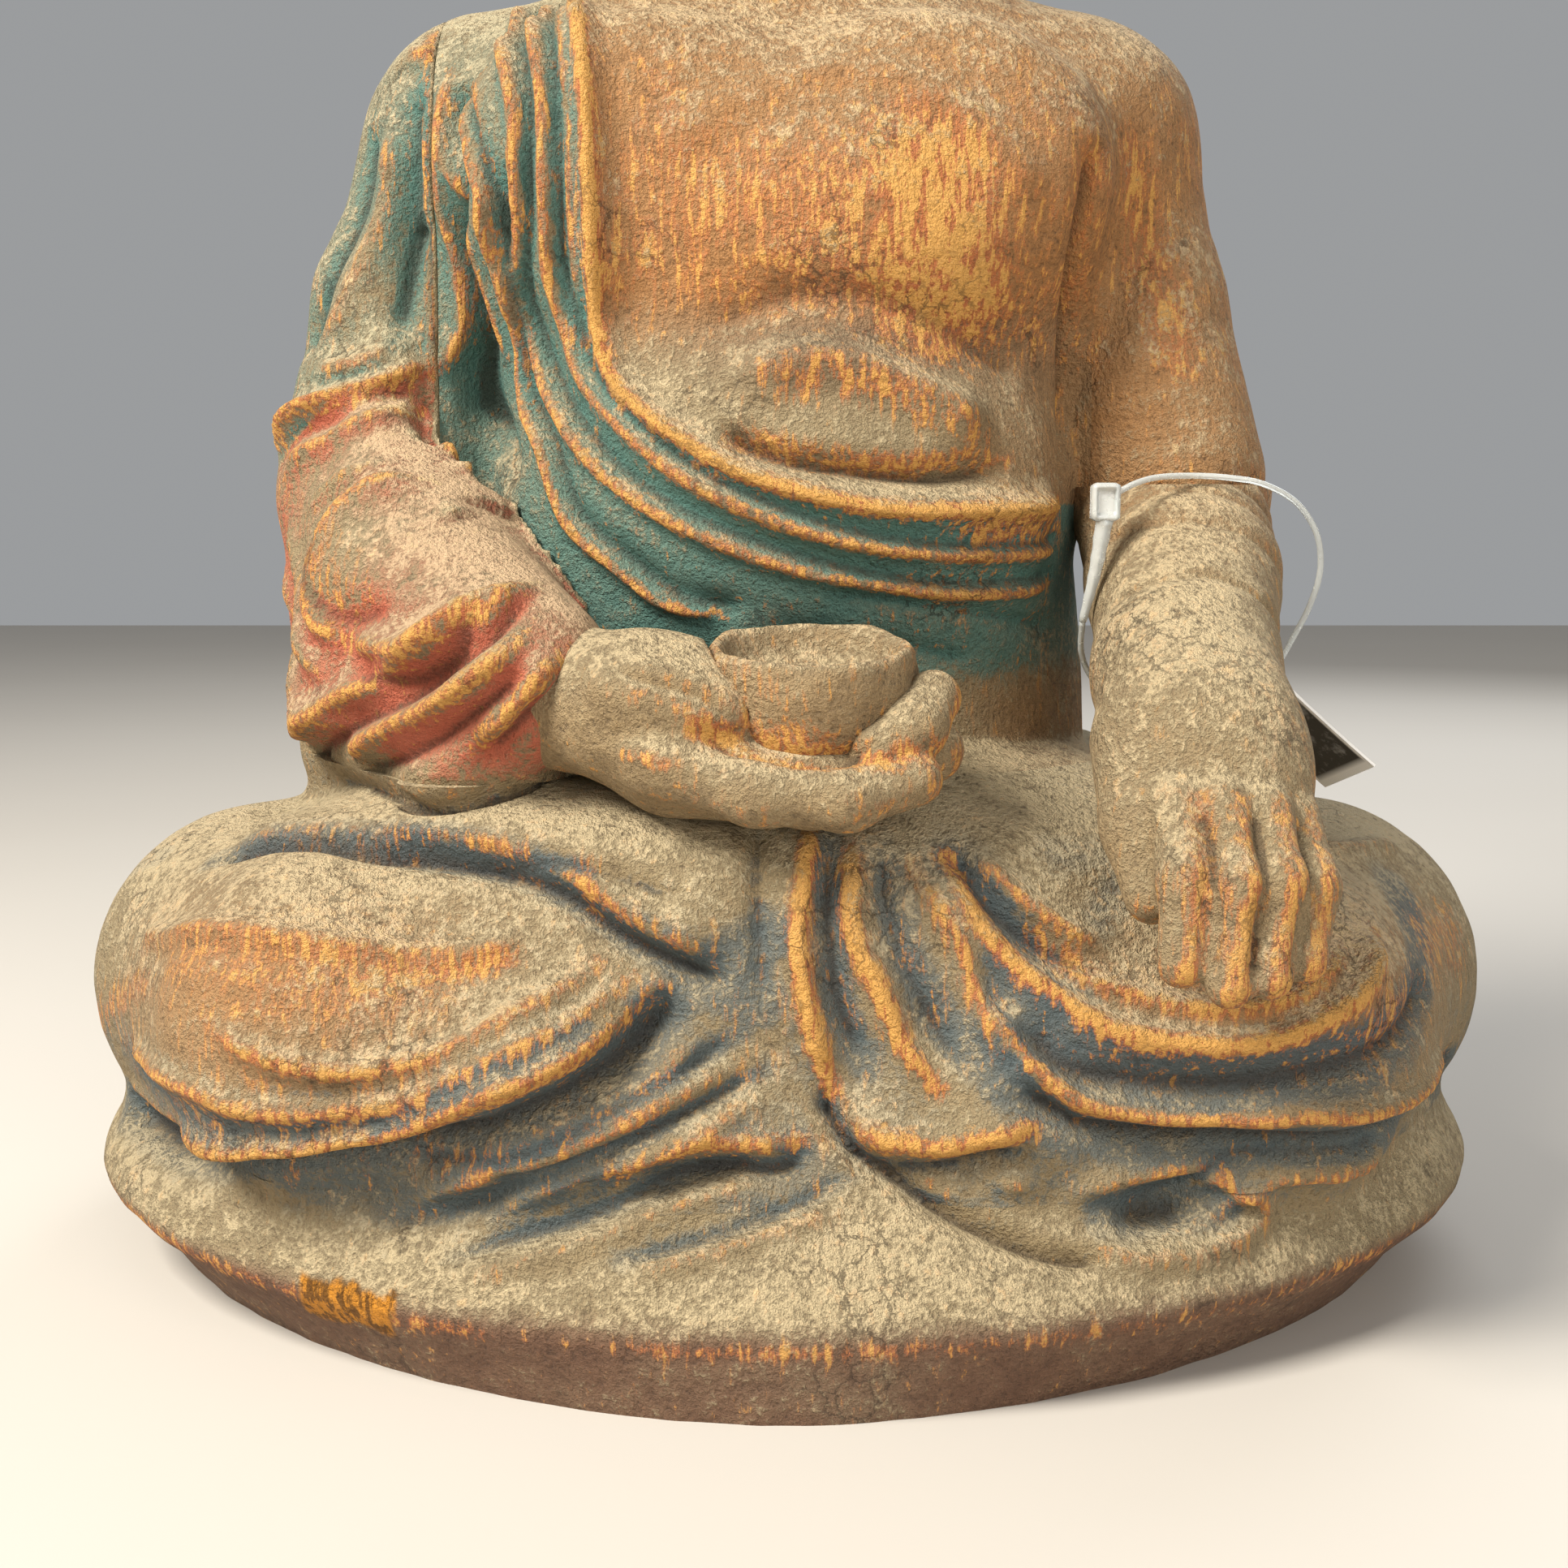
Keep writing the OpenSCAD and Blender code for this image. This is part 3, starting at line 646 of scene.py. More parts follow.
LAP_STROKES = [
    *[ridge(1.6, 2.0, line) for line in FALL_FOLDS],
    *[groove(1.6, 1.6, [(x, y, z + 3.5) for x, y, z in line]) for line in FALL_FOLDS],
    *[paint("slate", 0.6, 2.6, [(x, y, z + 3.5) for x, y, z in line]) for line in FALL_FOLDS],
    ridge(2.2, 2.0, [(27, -71, 82), (34, -73, 74), (42, -74, 69), (51, -75, 66)]),
    groove(2.2, 1.6, [(24, -71, 81), (30, -74, 72), (38, -75, 66), (48, -76, 62)]),
    ridge(1.8, 2.2, [(-100, -40, 58), (-88, -60, 62), (-70, -74, 66), (-50, -78, 68), (-36, -76, 69)]),
    groove(1.6, 1.6, [(-52, -66, 81), (-40, -70, 79), (-28, -73, 77), (-14, -75, 72)]),
    shelf(3.9, 16, RIGHT_LEG_TOP, side=1),
    groove(3.7, 2.2, [(x, y, z - 1.5) for x, y, z in RIGHT_LEG_TOP]),
    *[ridge(2.0, 2.0, line, lean=-0.3) for line in RIGHT_LEG_FOLDS],
    groove(5.0, 3.2, RIGHT_LEG_FOOT),
    ridge(1.7, 2.2, [(x, y, z + 5) for x, y, z in RIGHT_LEG_FOOT]),
    ridge(1.8, 2.6, [(-56, -77, 30), (-43, -84, 34), (-31, -84, 39), (-19, -80, 46), (-12, -77, 55)]),
    ridge(2.1, 2.4, [(-27, -81, 33), (-19, -81, 37), (-12, -80, 38), (-4, -80, 37), (3, -80, 38)]),
    groove(2.5, 1.8, [(-23, -81, 30), (-16, -81, 33), (-8, -81, 34), (0, -80, 34), (5, -79, 37)]),
    groove(1.7, 1.5, [(-4, -66, 84), (-4, -74, 74), (-3, -77, 57)]),
    *[ridge(2.5, 2.1, line) for line in MIDDLE_FOLDS],
    groove(2.0, 1.6, [(7, -70, 82), (6.5, -75, 70), (8, -77, 58), (12, -77, 48)]),
    groove(1.7, 1.6, [(14, -71, 80), (16, -76, 68), (21, -77, 57), (26, -79, 47)]),
    ridge(3.0, 2.6, LEFT_LEG_FOLDS[0], lean=-0.3),
    ridge(1.8, 1.8, LEFT_LEG_FOLDS[1]),
    ridge(2.0, 1.9, LEFT_LEG_FOLDS[2]),
    groove(
        3.4, 3.6,
        [
            (34, -77, 56), (41, -81, 50), (52, -80, 46.5), (64, -79, 45.5), (76, -78, 47), (90, -74, 50),
            (103, -55, 56),
        ],
    ),
    groove(4.7, 2.6, LEFT_LEG_FOOT),
    ridge(3.3, 3.0, [(7, -78, 43), (13, -80, 38.5), (23, -80, 37.5), (33, -81, 40), (38, -82, 39)]),
    groove(2.8, 1.5, [(13, -80, 34.5), (22, -80, 34), (30, -80, 36), (37, -82, 36.5)]),
    groove(
        3.7, 1.3,
        [
            (5, -78, 45), (10, -80, 37), (16, -80, 32.5), (24, -82, 28), (33, -84, 25), (40, -84, 22.5),
            (47, -83, 21),
        ],
        ends=3,
    ),
    ridge(
        2.1, 2.2,
        [
            (40, -80, 29), (50, -77, 31), (60, -75, 32), (68, -72, 29), (73, -71, 24), (65, -76, 20),
            (52, -81, 20), (42, -81, 23),
        ],
    ),
    groove(2.5, 3.4, [(48, -79, 26), (56, -77, 26), (64, -75, 25)]),
    ridge(2.2, 2.6, [(27, -81, 31), (34, -80, 31.5), (39, -80, 28)]),
    groove(1.4, 2.6, [(-66, -79, 24), (-50, -82, 27), (-36, -84, 32)]),
    # Folds that run on round the back of the seat
    *[
        ridge(
            2.4, 3.0,
            [
                (-104, 20, 60 - 9 * k), (-72, 66, 58 - 10 * k), (0, 84, 66 - 12 * k), (72, 66, 58 - 10 * k),
                (104, 20, 60 - 9 * k),
            ],
        )
        for k in range(4)
    ],
    groove(4.7, 3.0, [(-117, 10, 29), (-92, 60, 27), (0, 80, 27), (92, 60, 27), (117, 10, 29)]),
    ridge(2.1, 2.4, [(60, -52, 82), (76, -50, 81), (92, -40, 76), (104, -22, 68)]),
]

PAINT_STROKES = [
    paint("worn", 0.62, 1.7, ROBE_EDGE),
    *[paint("worn", 0.24, 1.2, line) for line in ROBE_FOLDS + THIN_FOLDS],
    *[paint("worn", 0.34, 1.8, line) for line in (SLEEVE_EDGE, SLEEVE_HEM)],
    *[
        paint("teal", 0.9, 2.8, line)
        for line in ([(-61, -13, 201), (-64, -16, 170), (-66, -16, 158)], [(-72, -6, 197), (-80, -8, 166)])
    ],
    # The chest, rubbed to gold on its left side, and the roll of the belly
    paint("worn", 0.62, 15, [(22, -38, 182), (27, -39, 166)]),
    paint("worn", 0.36, 18, [(-6, -38, 180), (14, -38, 178), (34, -36, 174)]),
    paint("worn", 0.30, 7, [(-20, -36, 200), (-16, -37, 178), (-12, -40, 164)]),
    paint("worn", 0.34, 4, [(2, -42, 149), (16, -42, 148), (34, -38, 141)]),
    paint("worn", 0.40, 2.4, [(-8, -45, 140), (11, -46, 137), (36, -36, 138)]),
    paint("worn", 0.42, 6, [(30, -38, 128), (42, -28, 128)]),
    paint("worn", 0.40, 7, [(60, -18, 190), (64, -17, 172), (68, -20, 156)]),
    # Slate in the deep folds of the lap
    paint("slate", 1.0, 4.0, RIGHT_LEG_TOP),
    paint("slate", 1.0, 5.0, RIGHT_LEG_FOOT),
    paint("slate", 1.0, 5.5, LEFT_LEG_FOOT),
    paint(
        "slate", 0.95, 4.0,
        [(-107, -46, 40), (-79, -79, 39), (-55, -82, 42), (-42, -84, 48), (-31, -81, 53)],
    ),
    paint(
        "slate", 1.0, 6.5,
        [
            (34, -77, 57), (41, -81, 51), (52, -80, 47), (64, -79, 46), (76, -78, 48), (89, -75, 50),
            (103, -55, 60), (106, -44, 74),
        ],
    ),
    paint("slate", 0.9, 5.0, [(-4, -77, 58), (-10, -77, 62), (-2, -77, 68)]),
    paint("slate", 0.8, 3.4, [(7, -70, 82), (6.5, -75, 70), (8, -77, 58), (12, -77, 48)]),
    paint("slate", 0.85, 4.0, [(14, -71, 82), (17, -76, 68), (22, -77, 57), (28, -79, 50)]),
    paint("slate", 0.75, 6.0, [(24, -70, 84), (30, -74, 72), (38, -77, 60), (48, -80, 48)]),
    paint("slate", 0.7, 6.0, [(-50, -80, 33), (-36, -84, 38), (-24, -81, 44), (-14, -78, 50)]),
    paint("slate", 0.55, 8.0, [(-74, -74, 27), (-52, -80, 28), (-34, -83, 32)]),
    paint("slate", 0.8, 5.0, [(48, -79, 26), (56, -77, 26), (65, -75, 25)]),
    paint("slate", 0.6, 5.0, [(40, -62, 88), (52, -66, 78), (48, -72, 70)]),
    # Ground rubbed bare on the crests of the lap
    paint("worn", 0.38, 11, [(-90, -66, 62), (-72, -76, 62), (-54, -78, 64)]),
    paint("worn", 0.53, 3.2, [(-62, -78, 61), (-52, -79, 64), (-41, -78, 66)]),
    *[paint("worn", 0.31, 2.2, line) for line in RIGHT_LEG_FOLDS],
    *[paint("worn", 0.56, 1.9, line) for line in MIDDLE_FOLDS[:2]],
    paint("worn", 0.34, 2.0, MIDDLE_FOLDS[2]),
    paint("worn", 0.56, 2.2, LEFT_LEG_FOLDS[0]),
    paint("worn", 0.4, 3.0, LEFT_LEG_FOLDS[1]),
    paint("worn", 0.31, 1.6, LEFT_LEG_FOLDS[2]),
    paint("worn", 0.37, 8, [(60, -76, 62), (76, -72, 66)]),
    paint("worn", 0.37, 9, [(104, -46, 62), (110, -30, 58)]),
    paint("worn", 0.5, 2.2, [(14, -80, 39), (24, -80, 37.5), (35, -81, 40)]),
    paint("worn", 0.37, 2.2, [(-25, -81, 33), (-12, -80, 38), (2, -80, 38)]),
    paint("worn", 0.34, 2.2, [(66, -73, 31), (72, -71, 26)]),
    paint("worn", 0.31, 2.0, [(-28, -74, 72), (-30, -74, 80)]),
    paint("worn", 0.31, 4.0, [(-118, -20, 42), (-104, -54, 56)]),
    paint("slate", 0.8, 3.0, [(-118, -20, 40), (-119, -10, 58), (-110, -24, 74)]),
]


AT_ONCE = 20000


def nearest(places, line):
    """Which sample of a line lies nearest each place."""
    found = np.empty(len(places), int)
    for first in range(0, len(places), AT_ONCE):
        part = places[first : first + AT_ONCE]
        found[first : first + AT_ONCE] = (
            (part**2).sum(1)[:, None] + (line**2).sum(1)[None, :] - 2 * part @ line.T
        ).argmin(1)
    return found


LINE_STEP = 0.8
# How many widths to each side a stroke is felt: a shelf's fades sooner
REACH = {"shelf": 1.6}
USUAL_REACH = 2.6


def work(clay, places, facing, strokes, depth):
    """Runs the strokes over the skin: how far each point is lifted, and how much of each colour it gets."""
    lift = np.zeros(len(places))
    colour = {name: np.zeros(len(places)) for name in COLOURS}
    for stroke in strokes:
        line = clay.snap(smooth_line(stroke.points, LINE_STEP))
        out = clay.slope(line)
        way = np.gradient(line, axis=0)
        way /= np.linalg.norm(way, axis=1, keepdims=True) + 1e-9
        across = np.cross(out, way)
        reach = stroke.width * REACH.get(stroke.kind, USUAL_REACH)
        inside = np.all((places > line.min(0) - reach) & (places < line.max(0) + reach), axis=1)
        near = np.flatnonzero(inside)
        if not len(near):
            continue
        best = nearest(places[near], line)
        off = places[near] - line[best]
        side = (off * across[best]).sum(1)
        past = (off * way[best]).sum(1)
        turned = ramp((facing[near] * out[best]).sum(1), 0.05, 0.5)
        from_end = np.minimum(best, len(line) - 1 - best) * LINE_STEP
        ends = ramp(from_end, -LINE_STEP, stroke.ends) if stroke.ends > 0 else 1.0
        hold = turned * ends * np.exp(-((past / stroke.width) ** 2))
        hold = hold * ramp(reach - np.linalg.norm(off, axis=1), 0, 0.3 * reach)
        if stroke.kind == "ridge":
            width = stroke.width * (1 + stroke.lean * np.sign(side) * 0.5)
            crest = np.exp(-((side / width) ** 2)) * hold
            lift[near] += stroke.size * depth * crest
            colour["worn"][near] = np.maximum(colour["worn"][near], 0.18 * crest * min(1.0, stroke.size))
        elif stroke.kind == "groove":
            cut = np.exp(-np.abs(side / stroke.width) ** 1.4) * hold
            lift[near] -= stroke.size * depth * cut
            # The cut is darkened along its length: painted shade
            colour["painted_shade"][near] = np.maximum(colour["painted_shade"][near], cut * min(1.0, 0.5 * stroke.size))
            colour["worn"][near] *= 1 - 0.6 * cut
        elif stroke.kind == "shelf":
            up = side * stroke.lean
            step = 0.5 * (1 + np.tanh(up / 1.1)) * np.exp(-np.maximum(up, 0) / stroke.width)
            lift[near] += stroke.size * depth * step * hold
        else:
            laid = stroke.size * np.exp(-((side / stroke.width) ** 2)) * hold
            colour[stroke.kind][near] = np.maximum(colour[stroke.kind][near], laid)
    return lift, colour


HILLS = 32


def lumps(places, size, seed):
    """Smooth random hills of a size in mm, -1 to 1: random heights on a grid, eased between its points."""
    heights = np.random.default_rng(seed).uniform(-1, 1, (HILLS, HILLS, HILLS))
    at = places / size
    cell = np.floor(at).astype(int)
    share = at - cell
    share = share * share * (3 - 2 * share)
    total = 0.0
    for corner in np.ndindex(2, 2, 2):
        weight = np.prod(np.where(corner, share, 1 - share), axis=1)
        total = total + weight * heights[tuple(((cell + corner) % HILLS).T)]
    return total


# ---------------------------------------------------------------------------
# Meshes
# ---------------------------------------------------------------------------


def new_mesh(name, points, faces, smooth=True):
    """A mesh in metres from points in millimetres."""
    mesh = bpy.data.meshes.new(name)
    mesh.from_pydata((np.asarray(points) * MM).tolist(), [], faces)
    mesh.polygons.foreach_set("use_smooth", np.full(len(mesh.polygons), smooth))
    mesh.update()
    return mesh


def new_object(name, mesh, material):
    piece = bpy.data.objects.new(name, mesh)
    bpy.context.collection.objects.link(piece)
    mesh.materials.clear()
    mesh.materials.append(material)
    return piece


def give_colours(mesh, name, *channels):
    """Stores up to four sets of numbers, one per point, as one colour attribute for the materials."""
    layer = mesh.attributes.new(name, "FLOAT_COLOR", "POINT")
    values = np.ones((len(mesh.vertices), 4))
    for k, channel in enumerate(channels):
        values[:, k] = channel
    layer.data.foreach_set("color", values.astype(np.float32).ravel())


def sunken(mesh, facing, rounds=3):
    """How sharply the skin curves in (above 0) or out (below 0) at each point, in 1/mm: the mean of the
    neighbours less the point, along its facing, over the square of the spacing, evened over a few rounds."""
    count = len(mesh.vertices)
    ends = np.empty(len(mesh.edges) * 2, np.int32)
    mesh.edges.foreach_get("vertices", ends)
    a, b = ends[::2], ends[1::2]
    places = np.empty(count * 3, np.float32)
    mesh.vertices.foreach_get("co", places)
    places = places.reshape(-1, 3).astype(float) / MM
    met = np.maximum(np.bincount(a, minlength=count) + np.bincount(b, minlength=count), 1)

    def mean(values):
        return (np.bincount(a, values[b], count) + np.bincount(b, values[a], count)) / met

    spacing = np.linalg.norm(places[a] - places[b], axis=1).mean()
    sink = sum((mean(places[:, k]) - places[:, k]) * facing[:, k] for k in range(3))
    for _ in range(rounds):
        sink = 0.4 * sink + 0.6 * mean(sink)
    return sink / spacing**2


def saw(mesh, cuts):
    """Cuts a closed mesh by planes (place in mm, the way of the part taken off) and closes each cut flat."""
    form = bmesh.new()
    form.from_mesh(mesh)
    for place, way in cuts:
        everything = [*form.verts, *form.edges, *form.faces]
        cut = bmesh.ops.bisect_plane(
            form, geom=everything, dist=1e-7, plane_co=Vector(place) * MM, plane_no=Vector(way),
            clear_outer=True,
        )
        edges = [part for part in cut["geom_cut"] if isinstance(part, bmesh.types.BMEdge)]
        rim = [edge for edge in edges if edge.is_boundary]
        if not rim:
            continue
        made = bmesh.ops.triangle_fill(form, use_beauty=False, edges=rim, normal=Vector(way))
        for part in made["geom"]:
            if isinstance(part, bmesh.types.BMFace):
                part.smooth = False
                part.normal_update()
                if part.normal.dot(Vector(way)) < 0:
                    part.normal_flip()
        for edge in rim:
            if edge.is_valid:
                edge.smooth = False
    form.to_mesh(mesh)
    form.free()
    mesh.update()


# Near the face of a joint, in mm: how far off it counts, where paint ends, and where wear sets in
FAR_FROM_SEAM = 50.0
PAINT_EDGE = 0.8
PAINT_FADE = 0.4
WEAR_FROM, WEAR_FULL = 1.0, 3.0
# How far a sharp crest is rubbed bare, and how its paint thins and a valley's thickens
CREST_RUB = 0.22
CREST_THIN = 0.7
VALLEY_THICK = 0.5


def carve(name, forms, low, high, step, strokes, region, cuts, uneven, depth, ease):
    """A block: its clay's skin, worked with the strokes, uneven from the knife, and sawn to its joints.

    region gives the paint of each place as a dict of colour to share, before the strokes add theirs.
    ease is how far from a joint's face, in mm, the carving reaches its full depth."""
    clay = Clay(forms, low, high, step_of(step))
    places, faces = clay.skin()
    facing = clay.slope(places)
    lift, colour = work(clay, places, facing, strokes, depth)
    rough = lumps(places, 9.0, 5) * 0.6 + lumps(places + 40, 4.0, 6) * 0.4
    lift = lift + uneven * rough
    # Where a form is cut away the edge is a joint, so it is left sharp and unrubbed
    seam = np.full(len(places), FAR_FROM_SEAM)
    for form in forms:
        if form.cut and form.fillet == 0:
            seam = np.minimum(seam, np.abs(form.distance(*places.T)))
    lift = lift * ramp(seam, 0.0, ease)
    for key, share in region(places, facing).items():
        colour[key] = np.maximum(colour[key], share)
    # No paint inside a cut
    bare = ramp(PAINT_EDGE - seam, 0.0, PAINT_FADE)
    for key in COLOURS:
        colour[key] = colour[key] * (1 - bare)
    mesh = new_mesh(name, places + facing * lift[:, None], faces)
    facing = np.empty(len(mesh.vertices) * 3, np.float32)
    mesh.vertices.foreach_get("normal", facing)
    sink = sunken(mesh, facing.reshape(-1, 3))
    # Paint is rubbed off the crests and lies thick in the valleys
    crest = ramp(-sink, 0.02, 0.18) * ramp(seam, WEAR_FROM, WEAR_FULL)
    for key in ("teal", "slate", "red"):
        colour[key] = colour[key] * (1 - CREST_THIN * crest + VALLEY_THICK * ramp(sink, 0.015, 0.15))
    worn = colour["worn"] + CREST_RUB * crest
    # Painted shade in the hollows: the more sharply the skin curves in, the darker it is painted
    painted_shade = np.maximum(colour["painted_shade"], ramp(sink, 0.05, 0.35))
    give_colours(mesh, "paint", colour["teal"], colour["slate"], colour["red"], colour["brown"])
    give_colours(mesh, "carving", worn, painted_shade, colour["fresh"], colour["flesh"])
    saw(mesh, cuts)
    return mesh


# ---------------------------------------------------------------------------
# Materials
# ---------------------------------------------------------------------------


def hex_colour(text):
    """An sRGB hex colour as linear red, green and blue."""
    values = [int(text[k : k + 2], 16) / 255 for k in (1, 3, 5)]
    return tuple(v / 12.92 if v <= 0.04045 else ((v + 0.055) / 1.055) ** 2.4 for v in values)


def node(tree, kind, inputs=None, **settings):
    """Adds a node of a kind with its settings, and sets or links its inputs."""
    made = tree.nodes.new(kind)
    for key, value in settings.items():
        setattr(made, key, value)
    for key, value in (inputs or {}).items():
        socket = made.inputs[key]
        if isinstance(value, bpy.types.NodeSocket):
            tree.links.new(value, socket)
        elif socket.type == "RGBA" and len(value) == 3:
            socket.default_value = (*value, 1.0)
        else:
            socket.default_value = value
    return made


def new_material(name):
    material = bpy.data.materials.new(name)
    material.use_nodes = True
    material.node_tree.nodes.clear()
    return material, material.node_tree


def finish_material(tree, surface):
    node(tree, "ShaderNodeOutputMaterial", {"Surface": surface.outputs[0]})


def old_painted_wood(name, coats):
    """Gesso and thin water-based paint over joined wood blocks, a century of dust on it: dead matt, with the
    paint left in the valleys, an orange bole and bare golden wood on the crests, and fine cracks.

    coats holds the colour of each coat; the paint and carving attributes say how much of it lies where."""
    material, tree = new_material(name)
    place = node(tree, "ShaderNodeTexCoord").outputs["Object"]
    per_mm = 1.0 / MM
    # Patterns by their width in mm, with how much finer detail they carry and how strong it is
    clouds, flakes, grit = (
        node(
            tree, "ShaderNodeTexNoise",
            {"Vector": place, "Scale": per_mm / wide, "Detail": finer, "Roughness": strong},
        )
        for wide, finer, strong in ((24, 3.0, 0.6), (4.0, 6.0, 0.72), (1.0, 3.0, 0.75))
    )
    # The wood's grain stands upright: streaks 1.2 mm wide and about seven times as long
    upright = node(tree, "ShaderNodeMapping", {"Vector": place, "Scale": (1.0, 1.0, 0.14)})
    grain = node(
        tree, "ShaderNodeTexNoise", {
            "Vector": upright.outputs[0], "Scale": per_mm / 1.2, "Detail": 4.0, "Roughness": 0.65
        }
    )
    # Cracks in the gesso: cells about 5 mm across, their edges bent by the flakes, open only here and there
    bent = node(
        tree, "ShaderNodeVectorMath",
        {0: flakes.outputs["Color"], 1: (0.006, 0.006, 0.006), 2: place}, operation="MULTIPLY_ADD",
    )
    cells = node(
        tree, "ShaderNodeTexVoronoi", {
            "Vector": bent.outputs[0], "Scale": per_mm / 4.6
        }, feature="DISTANCE_TO_EDGE"
    )
    crack = node(
        tree, "ShaderNodeMapRange",
        {
            "Value": cells.outputs["Distance"], "From Min": 0.0, "From Max": 0.034, "To Min": 1.0,
            "To Max": 0.0,
        },
        interpolation_type="SMOOTHSTEP",
    ).outputs[0]
    crack_here = node(
        tree, "ShaderNodeMapRange",
        {
            "Value": clouds.outputs["Fac"], "From Min": 0.55, "From Max": 0.66
        }, interpolation_type="SMOOTHSTEP",
    ).outputs[0]
    crack = node(tree, "ShaderNodeMath", {0: crack, 1: crack_here}, operation="MULTIPLY").outputs[0]
    paint_layer = node(tree, "ShaderNodeAttribute", attribute_name="paint")
    carving_layer = node(tree, "ShaderNodeAttribute", attribute_name="carving")
    teal, slate, red = node(
        tree, "ShaderNodeSeparateColor", {"Color": paint_layer.outputs["Color"]}
    ).outputs[:3]
    worn, painted_shade, fresh = node(
        tree, "ShaderNodeSeparateColor", {"Color": carving_layer.outputs["Color"]}
    ).outputs[:3]
    brown = paint_layer.outputs["Alpha"]
    flesh = carving_layer.outputs["Alpha"]
    facing_up = node(
        tree, "ShaderNodeSeparateXYZ", {0: node(tree, "ShaderNodeNewGeometry").outputs["Normal"]}
    ).outputs[2]

    def broken(share, low, high, by_flakes=0.0, by_grain=0.0, by_grit=0.0, by_clouds=0.0):
        """A share broken up by the patterns: their swing about the middle is added, then a threshold."""
        value = share
        for pattern, amount in (
            (flakes, by_flakes), (grain, by_grain), (grit, by_grit), (clouds, by_clouds)
        ):
            if amount:
                value = node(
                    tree, "ShaderNodeMath", {
                        0: pattern.outputs["Fac"], 1: amount, 2: value
                    }, operation="MULTIPLY_ADD"
                ).outputs[0]
        middle = 0.5 * (by_flakes + by_grain + by_grit + by_clouds)
        return node(
            tree, "ShaderNodeMapRange", {
                "Value": value, "From Min": low + middle, "From Max": high + middle
            },
            interpolation_type="SMOOTHSTEP",
        ).outputs[0]

    def layer(under, over, share, strength=1.0):
        """One coat laid over another, as far as the share says."""
        if strength < 1.0:
            share = node(tree, "ShaderNodeMath", {0: share, 1: strength}, operation="MULTIPLY").outputs[0]
        return node(tree, "ShaderNodeMix", {0: share, 6: under, 7: over}, data_type="RGBA").outputs[2]

    colour = layer(coats["cloth"], coats["flesh"], flesh)
    # The rim's brown, laid on the base's rim and as painted shade under the chest
    colour = layer(colour, coats["rim"], brown)
    shade = broken(0.5, 0.20, 0.80, by_flakes=1.1, by_grit=0.7, by_grain=0.5)
    darker = node(
        tree, "ShaderNodeMix", {0: 0.40, 6: colour, 7: coats["crack"]}, data_type="RGBA"
    ).outputs[2]
    colour = layer(darker, colour, shade)
    # Each coat over the last: its share, where that starts to show and covers, how strongly it covers, and
    # how far the flakes, the grain, the grit and the clouds break it up
    for key, share, low, high, strength, *by in (
        ("teal", teal, 0.26, 0.56, 0.92, 1.0, 0.6, 0.4),
        ("slate", slate, 0.24, 0.58, 0.88, 1.2, 0.0, 0.5),
        ("red", red, 0.32, 0.62, 0.85, 1.0, 0.4, 0.5),
        ("bole", worn, 0.18, 0.42, 0.88, 0.8, 1.5, 0.4, 0.7),
        ("gold", worn, 0.32, 0.60, 0.90, 0.8, 2.4, 0.4, 0.6),
    ):
        colour = layer(colour, coats[key], broken(share, low, high, *by), strength)
    # Dust: a thin veil over everything, thicker where the skin faces up, in grains about a millimetre wide
    lying = node(
        tree, "ShaderNodeMapRange",
        {"Value": facing_up, "From Min": -0.3, "From Max": 0.9, "To Min": 0.28, "To Max": 0.80},
    ).outputs[0]
    for share, amount in ((worn, -0.42), (painted_shade, -0.24)):
        lying = node(
            tree, "ShaderNodeMath", {0: share, 1: amount, 2: lying}, operation="MULTIPLY_ADD"
        ).outputs[0]
    veil = broken(lying, 0.10, 0.90, by_clouds=0.6, by_flakes=0.5)
    colour = layer(colour, coats["dust"], veil, 0.36)
    dusty = broken(lying, 0.40, 0.74, by_flakes=1.3, by_grit=0.9, by_clouds=0.6)
    colour = layer(colour, coats["dust"], dusty, 0.62)
    pits = broken(0.5, 0.66, 0.90, by_flakes=-1.0, by_grit=-1.2)
    colour = layer(colour, coats["crack"], pits, 0.42)
    # Painted shade: the dark of the cracks laid in the grooves and hollows and under the chest
    colour = layer(colour, coats["crack"], broken(painted_shade, 0.5, 1.0, by_flakes=0.6, by_grit=0.5), 0.6)
    colour = layer(colour, coats["crack"], crack, 0.5)
    split = layer(
        coats["fresh"], tuple(0.3 * c for c in coats["fresh"]), broken(0.5, 0.4, 0.6, by_grain=1.6)
    )
    colour = layer(colour, split, fresh)
    height = flakes.outputs["Fac"]
    for pattern, amount in (
        (grit.outputs["Fac"], 0.55), (grain.outputs["Fac"], 0.30), (crack, -0.4), (dusty, 0.16)
    ):
        height = node(
            tree, "ShaderNodeMath", {0: pattern, 1: amount, 2: height}, operation="MULTIPLY_ADD"
        ).outputs[0]
    bump = node(tree, "ShaderNodeBump", {"Height": height, "Strength": 0.95, "Distance": 0.0027})
    # Paint over gesso is dead matt, and only the rubbed crests catch a dull sheen
    gloss = node(
        tree, "ShaderNodeMapRange",
        {"Value": worn, "From Min": 0.2, "From Max": 0.9, "To Min": 0.88, "To Max": 0.60},
    ).outputs[0]
    surface = node(
        tree, "ShaderNodeBsdfPrincipled",
        {
            "Base Color": colour, "Roughness": gloss, "Normal": bump.outputs[0], "Specular IOR Level": 0.32,
            "IOR": 1.5,
        },
    )
    finish_material(tree, surface)
    return material


